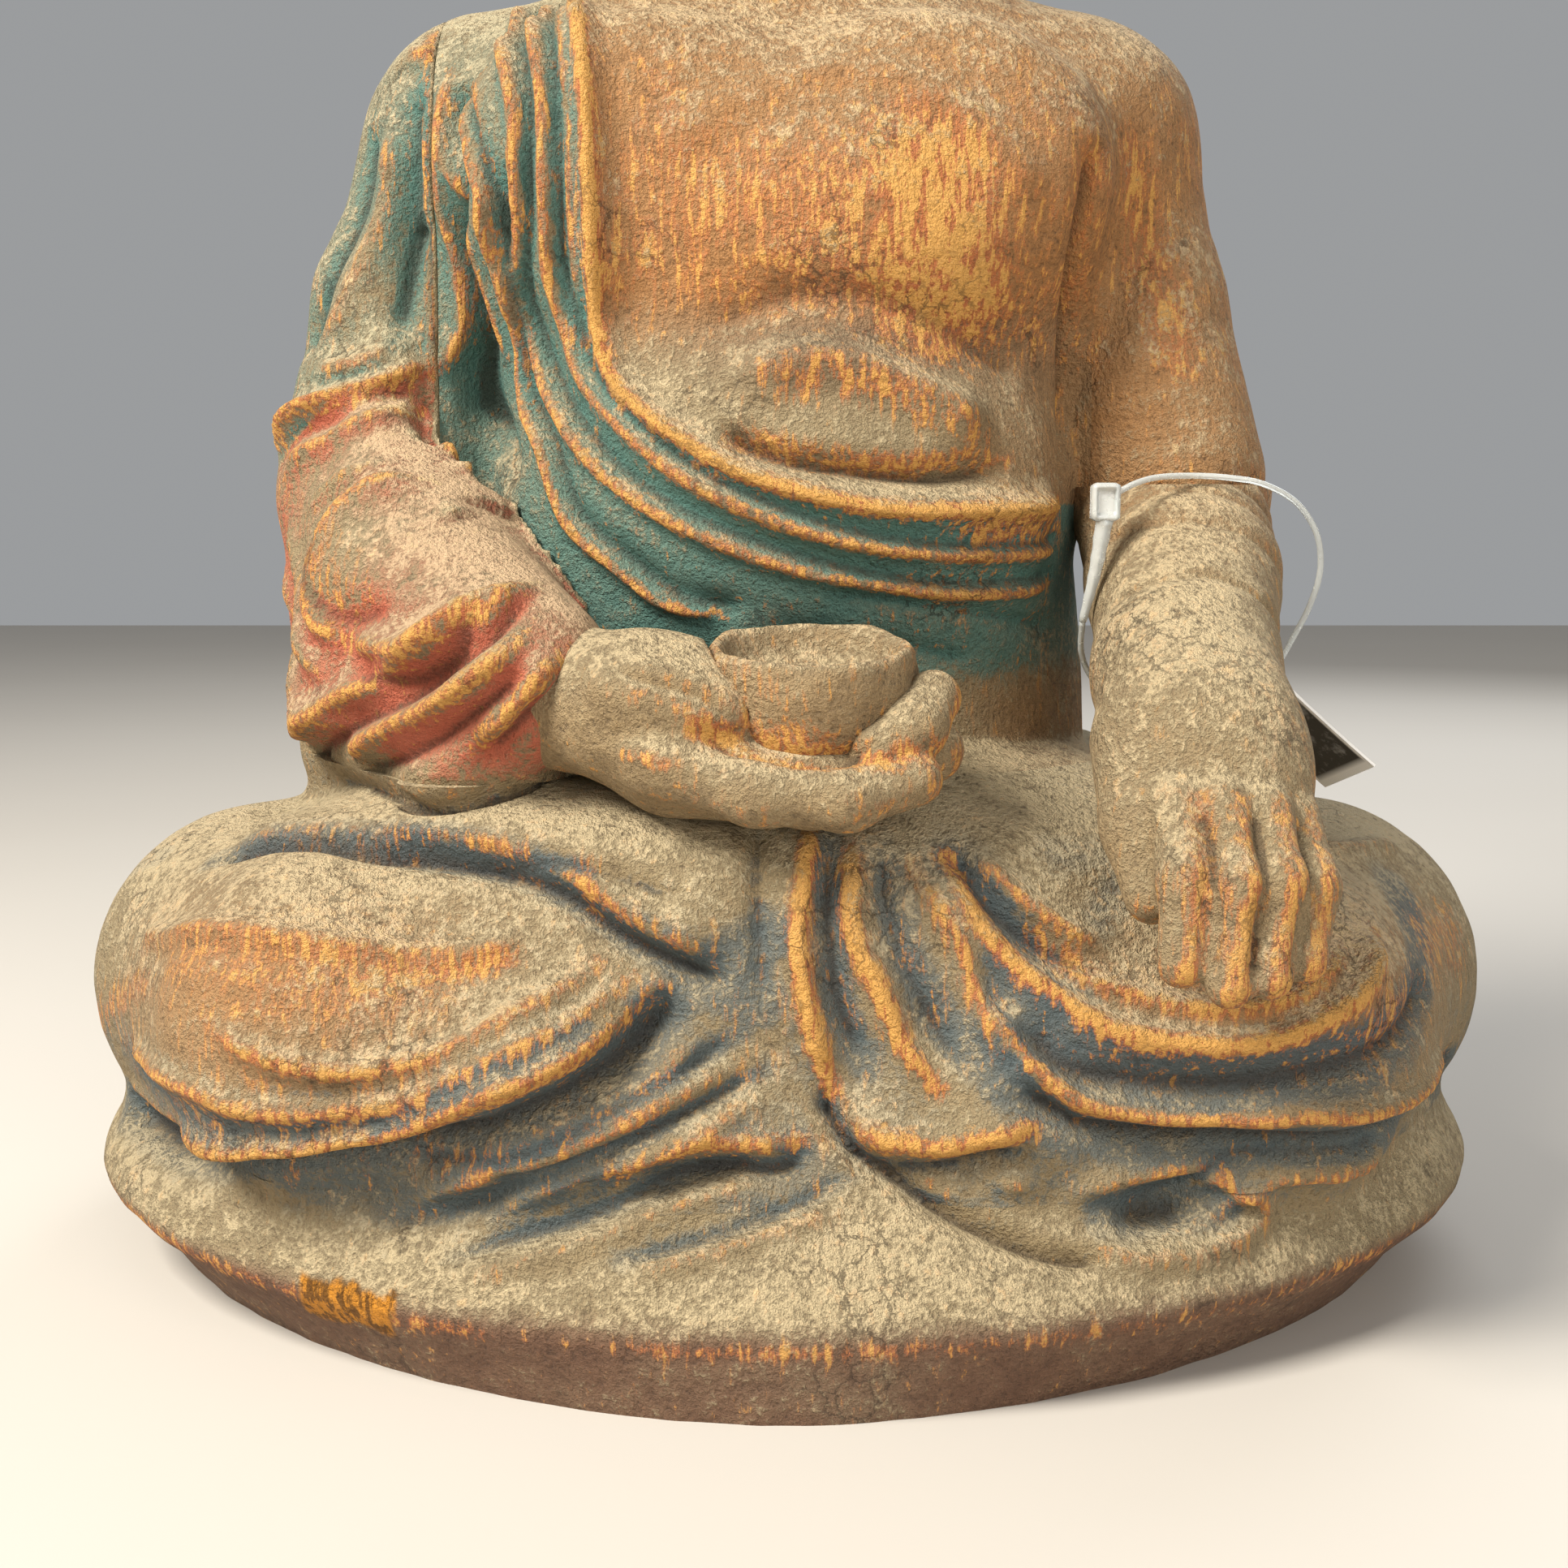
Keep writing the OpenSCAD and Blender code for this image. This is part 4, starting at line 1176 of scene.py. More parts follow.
def plain_wood(name, light, dark):
    """Turned, unfinished softwood: straight grain along the peg, a soft sheen from the knife."""
    material, tree = new_material(name)
    along = node(tree, "ShaderNodeAttribute", attribute_name="along").outputs["Color"]
    grain = node(
        tree, "ShaderNodeTexNoise", {"Vector": along, "Scale": 1.0, "Detail": 4.0, "Roughness": 0.6}
    )
    colour = node(
        tree, "ShaderNodeMix", {0: grain.outputs["Fac"], 6: dark, 7: light}, data_type="RGBA"
    ).outputs[2]
    bump = node(
        tree, "ShaderNodeBump", {"Height": grain.outputs["Fac"], "Strength": 0.3, "Distance": 0.0003}
    )
    surface = node(
        tree, "ShaderNodeBsdfPrincipled",
        {
            "Base Color": colour, "Roughness": 0.62, "Normal": bump.outputs[0], "Specular IOR Level": 0.4,
            "IOR": 1.5,
        },
    )
    finish_material(tree, surface)
    return material


def aged_paper(name, paper, edge):
    """Hand-made mulberry paper: cloudy, with fine fibres lying across it, quite matt."""
    material, tree = new_material(name)
    place = node(tree, "ShaderNodeTexCoord").outputs["Object"]
    clouds = node(
        tree, "ShaderNodeTexNoise", {"Vector": place, "Scale": 140.0, "Detail": 4.0, "Roughness": 0.6}
    )
    lain = node(tree, "ShaderNodeMapping", {"Vector": place, "Scale": (1.0, 1.0, 7.0)})
    fibres = node(
        tree, "ShaderNodeTexNoise",
        {"Vector": lain.outputs[0], "Scale": 520.0, "Detail": 3.0, "Roughness": 0.7},
    )
    share = node(
        tree, "ShaderNodeMath", {0: clouds.outputs["Fac"], 1: fibres.outputs["Fac"]}, operation="MULTIPLY"
    ).outputs[0]
    share = node(tree, "ShaderNodeMapRange", {"Value": share, "From Min": 0.15, "From Max": 0.4}).outputs[0]
    colour = node(tree, "ShaderNodeMix", {0: share, 6: edge, 7: paper}, data_type="RGBA").outputs[2]
    bump = node(
        tree, "ShaderNodeBump", {"Height": fibres.outputs["Fac"], "Strength": 0.4, "Distance": 0.0002}
    )
    surface = node(
        tree, "ShaderNodeBsdfPrincipled",
        {
            "Base Color": colour, "Roughness": 0.85, "Normal": bump.outputs[0], "Specular IOR Level": 0.3,
            "IOR": 1.5,
        },
    )
    finish_material(tree, surface)
    return material


def silk_cord(name, silk):
    """Twisted silk, dyed and faded: a soft sheen across its strands."""
    material, tree = new_material(name)
    along = node(tree, "ShaderNodeAttribute", attribute_name="along").outputs["Color"]
    strands = node(
        tree, "ShaderNodeTexNoise", {"Vector": along, "Scale": 2.0, "Detail": 2.0, "Roughness": 0.6}
    )
    faded = tuple(0.5 * c for c in silk)
    colour = node(
        tree, "ShaderNodeMix", {0: strands.outputs["Fac"], 6: faded, 7: silk}, data_type="RGBA"
    ).outputs[2]
    bump = node(
        tree, "ShaderNodeBump", {"Height": strands.outputs["Fac"], "Strength": 0.5, "Distance": 0.0002}
    )
    surface = node(
        tree, "ShaderNodeBsdfPrincipled",
        {
            "Base Color": colour, "Roughness": 0.55, "Normal": bump.outputs[0],
            "Sheen Weight": 0.5, "Sheen Roughness": 0.4, "IOR": 1.45,
        },
    )
    finish_material(tree, surface)
    return material


def clear_nylon(name, tint):
    """Moulded clear nylon: glossy, faintly milky, with flow marks that bend the highlights."""
    material, tree = new_material(name)
    place = node(tree, "ShaderNodeTexCoord").outputs["Object"]
    flow = node(
        tree, "ShaderNodeTexNoise", {"Vector": place, "Scale": 900.0, "Detail": 2.0, "Roughness": 0.5}
    )
    bump = node(
        tree, "ShaderNodeBump", {"Height": flow.outputs["Fac"], "Strength": 0.25, "Distance": 0.0002}
    )
    gloss = node(
        tree, "ShaderNodeMapRange", {"Value": flow.outputs["Fac"], "To Min": 0.16, "To Max": 0.34}
    ).outputs[0]
    surface = node(
        tree, "ShaderNodeBsdfPrincipled",
        {
            "Base Color": tint, "Roughness": gloss, "Normal": bump.outputs[0],
            "Transmission Weight": 0.55, "IOR": 1.53,
        },
    )
    finish_material(tree, surface)
    return material


def printed_card(name, face, edge):
    """Coated card, printed dark to a pale border that is left bare: a satin face and a fibrous edge."""
    material, tree = new_material(name)
    place = node(tree, "ShaderNodeTexCoord").outputs["Object"]
    border = node(tree, "ShaderNodeAttribute", attribute_name="border").outputs["Fac"]
    fibres = node(
        tree, "ShaderNodeTexNoise", {"Vector": place, "Scale": 2400.0, "Detail": 3.0, "Roughness": 0.7}
    )
    scuffs = node(
        tree, "ShaderNodeTexNoise", {"Vector": place, "Scale": 260.0, "Detail": 5.0, "Roughness": 0.7}
    )
    scuffed = node(
        tree, "ShaderNodeMapRange", {
            "Value": scuffs.outputs["Fac"], "From Min": 0.55, "From Max": 0.75, "To Max": 0.35
        }
    ).outputs[0]
    share = node(tree, "ShaderNodeMath", {0: border, 1: scuffed}, operation="MAXIMUM").outputs[0]
    colour = node(tree, "ShaderNodeMix", {0: share, 6: face, 7: edge}, data_type="RGBA").outputs[2]
    gloss = node(tree, "ShaderNodeMapRange", {"Value": border, "To Min": 0.42, "To Max": 0.8}).outputs[0]
    bump = node(
        tree, "ShaderNodeBump", {"Height": fibres.outputs["Fac"], "Strength": 0.2, "Distance": 0.0001}
    )
    surface = node(
        tree, "ShaderNodeBsdfPrincipled",
        {"Base Color": colour, "Roughness": gloss, "Normal": bump.outputs[0], "IOR": 1.5},
    )
    finish_material(tree, surface)
    return material


# ---------------------------------------------------------------------------
# Surfaces on grids, for the turned, rolled and moulded pieces
# ---------------------------------------------------------------------------


def shell(rings):
    """A closed skin over rings of points: squares from ring to ring, and a pole at each end."""
    rings = np.asarray(rings, float)
    rows, columns = rings.shape[:2]
    here = np.arange(rows * columns).reshape(rows, columns)
    beside = np.roll(here, -1, axis=1)
    squares = np.stack([here[:-1], beside[:-1], beside[1:], here[1:]], axis=-1).reshape(-1, 4)
    first = np.stack([np.full(columns, rows * columns), beside[0], here[0]], axis=-1)
    last = np.stack([np.full(columns, rows * columns + 1), here[-1], beside[-1]], axis=-1)
    points = np.vstack([rings.reshape(-1, 3), rings[0].mean(0), rings[-1].mean(0)])
    return points, squares.tolist() + first.tolist() + last.tolist()


def together(shells):
    """Several skins as one list of points and faces."""
    points, faces, count = [], [], 0
    for some, corners in shells:
        points.append(some)
        faces += [[corner + count for corner in face] for face in corners]
        count += len(some)
    return np.vstack(points), faces


def frame_along(line):
    """The way a line runs at each point, and two directions square to it, right-handed."""
    way = np.gradient(line, axis=0)
    way /= np.linalg.norm(way, axis=1, keepdims=True)
    side = np.cross(np.array([0.0, 1.0, 0.3]), way)
    side /= np.linalg.norm(side, axis=1, keepdims=True)
    return way, side, np.cross(way, side)


def turned(profile, sides, place=(0, 0, 0), way=(0, 0, 1), wave=None):
    """A profile [radius, height] turned about an axis: (r cos a, r sin a, h), then laid along a way."""
    profile = np.asarray(profile, float)
    angle = np.linspace(0, 2 * np.pi, sides, endpoint=False)[None, :]
    radius = np.broadcast_to(profile[:, :1], (len(profile), sides))
    height = np.broadcast_to(profile[:, 1:2], (len(profile), sides))
    if wave is not None:
        radius, height = wave(radius, height, angle)
    local = np.stack(
        [radius * np.cos(angle), radius * np.sin(angle), height * np.ones_like(angle)], axis=-1
    )
    spin = np.array(Vector((0, 0, 1)).rotation_difference(Vector(way)).to_matrix())
    return shell(local @ spin.T + np.asarray(place, float))


PEG_R = 4.0
PEG_REACH = 12.0
BOWL_PEG_R = 2.0
NECK_PEG_R = 7.0
LEFT_ELBOW = np.array([68.0, -6.0, ELBOW])
LEFT_WRIST = np.array([62.0, -60.0, LAP_TOP + 14.0])
FOREARM_RUN = LEFT_WRIST - LEFT_ELBOW
FOREARM_WAY = FOREARM_RUN / np.linalg.norm(FOREARM_RUN)
WRIST_CUT = LEFT_ELBOW + 0.94 * FOREARM_RUN
BOWL_AT = np.array([4.0, -64.0, LAP_TOP + 4.0])


def peg(place, way, radius=PEG_R, reach=PEG_REACH):
    """A whittled peg: a rod with eight shallow facets, r (1 + 0.012 cos 8a), and chamfered ends."""
    blunt = 0.16 * radius
    profile = [
        [0.3 * radius, -reach], [radius - blunt, -reach], [radius, -reach + blunt],
        *[[radius, h] for h in np.linspace(-reach + 3, reach - 3, 5)],
        [radius, reach - blunt], [radius - blunt, reach], [0.3 * radius, reach],
    ]

    def facets(r, h, a):
        return r * (0.988 + 0.012 * np.cos(8 * a)), h

    return turned(profile, 32, place, way, facets)


def scroll_skin(place, radius, length):
    """Paper rolled tight: its end shows as a step down the side, and its turns as grooves in both ends."""
    lap_step = 0.45
    sheet = 1.25
    ends = np.linspace(0.6, radius - 0.5, 16)
    profile = [[r, 0.0] for r in ends]
    profile += [
        [radius, 0.5], *[[radius, h] for h in np.linspace(4, length - 4, 9)], [radius, length - 0.5]
    ]
    profile += [[r, length] for r in ends[::-1]]

    def rolled(r, h, a):
        outer = ramp(r, radius - 1.0, radius)
        dip = 0.35 * (0.5 + 0.5 * np.cos(2 * np.pi * r / sheet - a)) * (1 - outer)
        inward = np.where(h < 0.5 * length, dip, -dip)
        return r - lap_step * outer * (a / (2 * np.pi)), h + inward * ((h < 0.6) | (h > length - 0.6))

    return turned(profile, 64, place, (0, 0, 1), rolled)


def twisted_cord(line, radius, sides=10, twist=0.9):
    """Two strands laid round each other: a tube of radius r (0.82 + 0.18 |cos(a - twist s)|) at a run s."""
    line = np.asarray(line, float)
    way, side, up = frame_along(line)
    run = np.concatenate([[0], np.cumsum(np.linalg.norm(np.diff(line, axis=0), axis=1))])[:, None]
    angle = np.linspace(0, 2 * np.pi, sides, endpoint=False)[None, :]
    thick = radius * (0.82 + 0.18 * np.abs(np.cos(angle - twist * run)))
    rings = (
        line[:, None]
        + (thick * np.cos(angle))[..., None] * side[:, None]
        + (thick * np.sin(angle))[..., None] * up[:, None]
    )
    return shell(rings)


def smooth_tube(line, radii, sides=12):
    """A round tube along a line, of the radii given at its points."""
    line = np.asarray(line, float)
    _, side, up = frame_along(line)
    angle = np.linspace(0, 2 * np.pi, sides, endpoint=False)[None, :, None]
    radii = np.broadcast_to(np.asarray(radii, float), len(line))[:, None, None]
    rings = line[:, None] + radii * (np.cos(angle) * side[:, None] + np.sin(angle) * up[:, None])
    return shell(rings)


def hair_curls(clay):
    """Snail curls over the scalp and topknot: domes whose height swings with cos(angle - turns * radius)."""
    golden = math.pi * (3 - math.sqrt(5))
    spots = []
    for centre, radius, count in (((0, 9, 276), (30, 33, 29), 560), ((0, 6, 305), (18, 18, 16), 130)):
        k = np.arange(count)
        level = 1 - 2 * (k + 0.5) / count
        ring = np.sqrt(1 - level**2)
        way = np.stack([ring * np.cos(golden * k), ring * np.sin(golden * k), level], axis=1)
        spots.append(clay.snap(np.asarray(centre, float) + way * np.asarray(radius, float)))
    scalp, knot = spots
    scalp = scalp[scalp[:, 2] > hairline(scalp[:, 1]) + 1.5]
    scalp = scalp[np.linalg.norm(scalp[:, :2] - [0, 6], axis=1) + 0.4 * (scalp[:, 2] - 300) > 15.5]
    knot = knot[(knot[:, 2] > 302) & (knot[:, 2] < 319.5)]
    spots = np.vstack([scalp, knot])
    out = clay.slope(spots)
    chance = np.random.default_rng(11)
    spin = chance.uniform(0, 2 * np.pi, len(spots))
    size = 3.0 * chance.uniform(0.92, 1.08, len(spots))
    side = np.cross(out, np.array([0.12, 0.31, 1.0]))
    side /= np.linalg.norm(side, axis=1, keepdims=True)
    up = np.cross(out, side)
    rows = np.array([1.45, 1.2, 1.0, 0.8, 0.58, 0.36, 0.16])
    angle = np.linspace(0, 2 * np.pi, 10, endpoint=False)
    radius = np.where(rows > 1.0, 1.0 - 0.9 * (rows - 1.0), rows)[:, None] * np.ones(10)
    rise = np.where(rows > 1.0, -0.25 - (rows - 1.0), np.sqrt(np.clip(1 - rows**2, 0, 1)) * 0.9)[:, None]
    rise = rise + np.where(rows <= 0.85, 0.20, 0.0)[:, None] * np.cos(
        angle[None] - 2 * np.pi * 1.6 * rows[:, None]
    )
    shells = []
    for spot, n, s, u, turn, r in zip(spots, out, side, up, spin, size):
        flat = radius[..., None] * (
            np.cos(angle + turn)[None, :, None] * s + np.sin(angle + turn)[None, :, None] * u
        )
        shells.append(shell(spot + r * (flat + rise[..., None] * n)))
    return together(shells)


def hairline(y):
    """How high the hair starts, from the forehead round to the nape."""
    return np.interp(y, [-30, -18, -8, 2, 12, 22, 40], [286, 286, 285, 281, 270, 255, 243])


# The tag's filament: its route repeats the one in the solids
TAG_ROUTE = [
    (48, -42, 112), (48.5, -38, 107), (51, -33, 102.5), (55, -29, 99.5), (60, -26.5, 97.5),
    (66, -25, 96.5), (72, -24, 96.5), (77, -24, 97.5), (80.5, -24, 99.5), (83.5, -24.5, 103),
    (86, -25.5, 108), (88.5, -27, 114), (89.5, -29, 120), (88, -31.5, 126), (84, -33.5, 131),
    (78, -35.5, 134), (72, -36.5, 135), (66, -37.5, 135.3), (60, -40, 135), (56, -42.5, 134),
    (52.8, -44.5, 132.5),
]
TAG_CORD_R = 0.5
LOCK_AT = np.array([50.8, -44.8, 131.0])
CARD_AT = np.array(TAG_ROUTE[8], float)
CARD_SPIN = np.array(Matrix.Rotation(math.radians(43), 3, "Y") @ Matrix.Rotation(math.radians(-30), 3, "X"))
CARD_SIZE = (26.0, 14.0, 0.5)
CARD_HOLE_R = 2.0


def lock_skin():
    """The tag's moulded lock: a rounded block, a toothed window sunk in its front, on a tapering stem."""
    half = np.array([2.3, 1.8, 3.0])
    level = np.array([-3.0, -2.85, -2.5, -1.8, -1.5, -1.0, -0.5, 0, 0.5, 1.0, 1.5, 1.9, 2.2, 2.6, 2.9, 3.0])
    round_off = np.sqrt(np.clip(1 - ramp(np.abs(level), 2.3, 3.05) ** 2 * 0.55, 0, 1))
    angle = np.linspace(0, 2 * np.pi, 48, endpoint=False)
    power = 2 / 5.0
    x = half[0] * np.sign(np.cos(angle)) * np.abs(np.cos(angle)) ** power
    y = half[1] * np.sign(np.sin(angle)) * np.abs(np.sin(angle)) ** power
    window = ((np.abs(x) < 1.5) & (y < -1.3))[None, :] * ramp(2.0 - np.abs(level), -0.2, 0.2)[:, None]
    teeth = 0.18 * (np.arange(len(level)) % 2)[:, None]
    rings = np.stack(
        [
            x[None, :] * round_off[:, None],
            y[None, :] * round_off[:, None] + (0.9 - teeth) * window,
            np.broadcast_to(level[:, None], (len(level), 48)),
        ],
        axis=-1,
    )
    stem_line = smooth_line([LOCK_AT - [0, 0, 2.6], (49.6, -43.6, 120.0), TAG_ROUTE[0]], 1.0)
    thick = np.linspace(1.4, 0.62, len(stem_line)) * (1 + 0.10 * (np.arange(len(stem_line)) % 3 == 0))
    return together([shell(rings + LOCK_AT), smooth_tube(stem_line, thick)])


def card_skin():
    """A card with a hole: loops from the hole to the card's edge over one face, round it and back."""
    length, width, thick = CARD_SIZE
    inset = 1.75 * CARD_HOLE_R
    angle = np.linspace(0, 2 * np.pi, 96, endpoint=False)
    hole = CARD_HOLE_R * np.stack([np.cos(angle), np.sin(angle)], axis=1)
    to_side = np.abs(0.5 * width / np.where(np.abs(np.sin(angle)) < 1e-6, 1e-6, np.sin(angle)))
    ahead = np.where(np.cos(angle) > 0, length - inset, inset)
    to_end = np.abs(ahead / np.where(np.abs(np.cos(angle)) < 1e-6, 1e-6, np.cos(angle)))
    rim = np.minimum(to_side, to_end)[:, None] * np.stack([np.cos(angle), np.sin(angle)], axis=1)
    corner = np.array([[length - inset, 0.5 * width], [-inset, 0.5 * width]])
    for x, y in corner:
        for sign in (1, -1):
            spot = np.argmin(np.linalg.norm(rim - [x, sign * y], axis=1))
            rim[spot] = [x, sign * y]
    shares = np.array([0, 0.06, 0.3, 0.6, 0.86, 0.93, 1.0])
    flat = hole[None] + (rim - hole)[None] * shares[:, None, None]
    top = np.concatenate([flat, np.full((*flat.shape[:2], 1), 0.5 * thick)], axis=2)
    under = np.concatenate([flat[::-1], np.full((*flat.shape[:2], 1), -0.5 * thick)], axis=2)
    loops = np.concatenate([top, under], axis=0)
    bend = 0.9 * (loops[..., 0] / length) ** 2
    loops[..., 2] = loops[..., 2] + bend
    rows, columns = loops.shape[:2]
    here = np.arange(rows * columns).reshape(rows, columns)
    beside = np.roll(here, -1, axis=1)
    below = np.roll(here, -1, axis=0)
    faces = np.stack([here, below, np.roll(beside, -1, axis=0), beside], axis=-1).reshape(-1, 4)
    border = (
        np.abs(np.concatenate([shares, shares[::-1]]) - 1) < 0.08
    ) | (np.concatenate([shares, shares[::-1]]) < 0.05)
    border = np.repeat(border[:, None], columns, axis=1).ravel().astype(float)
    return loops.reshape(-1, 3) @ CARD_SPIN.T + CARD_AT, faces.tolist(), border


# ---------------------------------------------------------------------------
# Which paint lies where on the carved blocks
# ---------------------------------------------------------------------------


def robe_paint(places, facing):
    """Teal inside the robe's edge, in front and behind, and worn off towards the lap."""
    x, y, z = places.T
    front = np.interp(
        x, [-34, -31, -29, -26, -18, -8, 5, 17, 31, 46, 56],
        [225, 197, 160, 149, 142, 136, 132, 130, 130, 131, 131],
    )
    back = np.interp(x, [-60, -10, 20, 53], [232, 224, 203, 168])
    behind = ramp(y, 14, 30)
    robe = ramp(front * (1 - behind) + back * behind - z, -0.6, 0.6) * ramp(z + 30 * behind, 96, 110)
    thin = 0.5 + 0.5 * lumps(places, 15.0, 21)
    # The robe's upright part over the shoulder is the dustiest
    faded = 1 - 0.62 * ramp(z, 138, 168) * (1 - behind) * (0.4 + 0.6 * thin)
    chest = (1 - robe) * np.maximum(ramp(z, 150, 166), 0.6 * ramp(x, 22, 44))
    # Painted shade: a dark band under the chest, in the rim's brown and the dark of the cracks
    shade = (1 - robe) * (1 - behind) * np.exp(-(((z - 156) / 7) ** 2) - ((x - 10) / 34) ** 2)
    return {
        "teal": robe * (0.66 + 0.30 * thin) * faded,
        "worn": chest * 0.22,
        "slate": 0.14 * robe * thin,
        "brown": 0.6 * shade,
        "painted_shade": 0.7 * shade,
        "flesh": chest,
    }


def sleeve_paint(places, facing):
    """Teal on the upper arm, and faded red from its hem down to the lap."""
    x, y, z = places.T
    hem = np.interp(x, [-90, -81, -75, -66, -58], [137, 143, 147.5, 151.5, 156])
    behind = ramp(y, -4, 12)
    hem = hem * (1 - behind) + 150 * behind
    low = ramp(hem - z, -0.5, 0.5)
    patchy = 0.5 + 0.5 * lumps(places, 15.0, 22)
    worn_down = 1 - 0.75 * ramp(98 - z, 0, 14)
    elbow = np.exp(-(((x + 75) / 12) ** 2) - ((z - 124) / 12) ** 2) * (1 - behind)
    return {
        "teal": (1 - low) * (0.30 + 0.40 * patchy) + low * behind * 0.45,
        "red": low * worn_down * (0.42 + 0.45 * patchy) * (1 - 0.55 * elbow),
        "worn": 0.14 * ramp(-78 - x, 0, 8) + 0.14 * elbow,
    }


def lap_paint(places, facing):
    """Thin slate left in broad patches over the cloth of the lap, and bare orange on the knees."""
    x, y, z = places.T
    patchy = 0.5 + 0.5 * lumps(places, 14.0, 23)
    low = ramp(56 - z, 0, 20)
    behind = ramp(y, 0, 40)
    knee = np.exp(-(((np.abs(x) - 78) / 30) ** 2) - ((z - 60) / 15) ** 2) * ramp(-y, 20, 50)
    slate = 0.18 + 0.42 * patchy * (0.3 + 0.7 * low) + 0.14 * behind
    return {"slate": slate * (1 - 0.6 * knee), "worn": 0.08 * patchy + 0.20 * knee, "flesh": 0.85 * knee}


def base_paint(places, facing):
    """Slate patches on the skirt, red earth along the lip and one fresh chip in it."""
    x, y, z = places.T
    patchy = 0.5 + 0.5 * lumps(places, 16.0, 24)
    skirt = ramp(z, 13, 17)
    lip = np.exp(-(((z - 11.5 - 4 * (x / 125) ** 4) / 1.6) ** 2))
    jagged = 1.2 * lumps(places, 2.2, 25)
    chip = ramp(8.2 - np.abs(x + 65) + jagged, 0, 0.8) * ramp(
        4.0 - np.abs(z - 11.8) + jagged, 0, 0.8
    ) * (y < 0)
    return {
        "slate": skirt * (0.10 + 0.36 * patchy * ramp(z, 16, 30)),
        "red": 0.42 * lip * patchy,
        "brown": (1 - skirt) * 0.9,
        "worn": 0.42 * lip * patchy,
        "fresh": chip,
    }


def bare_skin(places, facing):
    """The old yellow coat of bare flesh, rubbed on its outer sides."""
    high = ramp(places[:, 2], 112, 146)
    worn = 0.10 * (0.5 + 0.5 * lumps(places, 13.0, 26)) + 0.10 * ramp(facing[:, 0], 0.2, 1.0)
    return {"worn": worn + 0.08 * high, "flesh": 0.12 + 0.85 * high}


def head_paint(places, facing):
    """Flesh on the face, slate on the scalp, red on the lips."""
    x, y, z = places.T
    hair = ramp(z - hairline(y), -0.4, 0.4) * (np.abs(x) < 31)
    lips = ramp(7.4 - np.abs(x), 0, 1) * ramp(3.6 - np.abs(z - 249.0), 0, 1) * ramp(-28 - y, 0, 1)
    worn = 0.08 + 0.10 * ramp(-y, 18, 32)
    return {"slate": hair, "red": 0.62 * lips, "worn": worn * (1 - hair), "flesh": 1 - hair}


FINGER_PAINT = [
    paint("worn", 0.42, 2.2, [(x + 0.8, y - 2, z) for x, y, z in line])
    for line in LEFT_FINGERS
]
HAND_STROKES = [
    *FINGER_PAINT,
    *[
        groove(
            1.0, 1.0, [tuple(0.5 * (np.array(a) + np.array(b)) - [0, 3, 0]) for a, b in zip(one, two)],
            ends=3,
        )
        for one, two in zip(LEFT_FINGERS[:-1], LEFT_FINGERS[1:])
    ],
]
BOWL_HAND_STROKES = [
    groove(1.2, 1.3, [(-14, -78, 97.5), (-4, -80, 95.5), (6, -80, 95), (16, -78, 96)]),
    groove(1.2, 1.2, [(-26, -74, 106), (-20, -78, 105), (-12, -79, 103), (-7, -78, 99)]),
    ridge(0.8, 2.0, [(-28, -72, 96), (-20, -77, 94), (-10, -79, 92)]),
    paint("worn", 0.6, 2.2, [(-12, -78, 99), (-6, -79, 96.5), (6, -80.5, 93.5), (18, -78, 94)]),
    paint("worn", 0.5, 2.4, [(16, -79, 92), (23, -76, 95), (26, -70, 102)]),
]
FOREARM_STROKES = [
    *[
        groove(
            0.7, 1.3,
            [
                (51, -14 - 6 * k, 130 - 3 * k), (60, -22 - 6 * k, 133 - 3 * k),
                (72, -22 - 6 * k, 132 - 3.4 * k), (82, -16 - 6 * k, 126 - 3 * k),
            ],
        )
        for k in range(4)
    ],
    groove(0.9, 1.2, [(52, -50, 112), (60, -54, 116), (70, -52, 113), (76, -46, 106)]),
    paint("worn", 0.3, 5.0, [(80, -14, 128), (77, -36, 112)]),
]
HEAD_STROKES = [
    stroke
    for side in (-1, 1)
    for stroke in (
        groove(
            0.8, 0.7, [(side * 4.6, -24.5, 265.6), (side * 10.5, -26.5, 264.6), (side * 17.4, -21, 266.2)],
            ends=3,
        ),
        ridge(
            0.55, 0.8, [(side * 4.6, -24.5, 267.0), (side * 10.5, -27, 266.4), (side * 17.6, -21, 267.6)],
            ends=3,
        ),
        groove(
            0.6, 0.8, [(side * 4.4, -24, 270), (side * 10.5, -25.5, 271.6), (side * 18, -20, 270.6)],
            ends=3,
        ),
        groove(
            0.55, 1.2, [(side * 6.2, -29, 259), (side * 9.5, -27.5, 254.5), (side * 10.5, -26, 250)],
            ends=4,
        ),
        ridge(
            0.9, 1.1,
            [
                (side * 29, 4, 280), (side * 32, 12, 278), (side * 33.6, 15, 268), (side * 31, 12, 257),
                (side * 29.5, 8, 248),
            ],
            ends=3,
        ),
    )
] + [
    groove(
        0.9, 0.8,
        [(-7.6, -29, 249.7), (-3, -31.6, 248.9), (0, -32, 249.3), (3, -31.6, 248.9), (7.6, -29, 249.7)],
        ends=2,
    ),
    groove(0.7, 1.4, [(-6, -28, 243.8), (0, -29, 243.2), (6, -28, 243.8)], ends=3),
    *[
        groove(0.8, 1.2, [(-15, 0, z + 1), (-8, -7, z), (0, -9, z - 0.6), (8, -7, z), (15, 0, z + 1)])
        for z in (226.5, 231, 235)
    ],
]


# ---------------------------------------------------------------------------
# The add-on: what a user can change, one operator for each piece or group, and a panel
# ---------------------------------------------------------------------------


def colour_setting(name, description, default):
    return bpy.props.FloatVectorProperty(
        name=name, description=description, subtype="COLOR", size=3, min=0, max=1,
        default=hex_colour(default),
    )


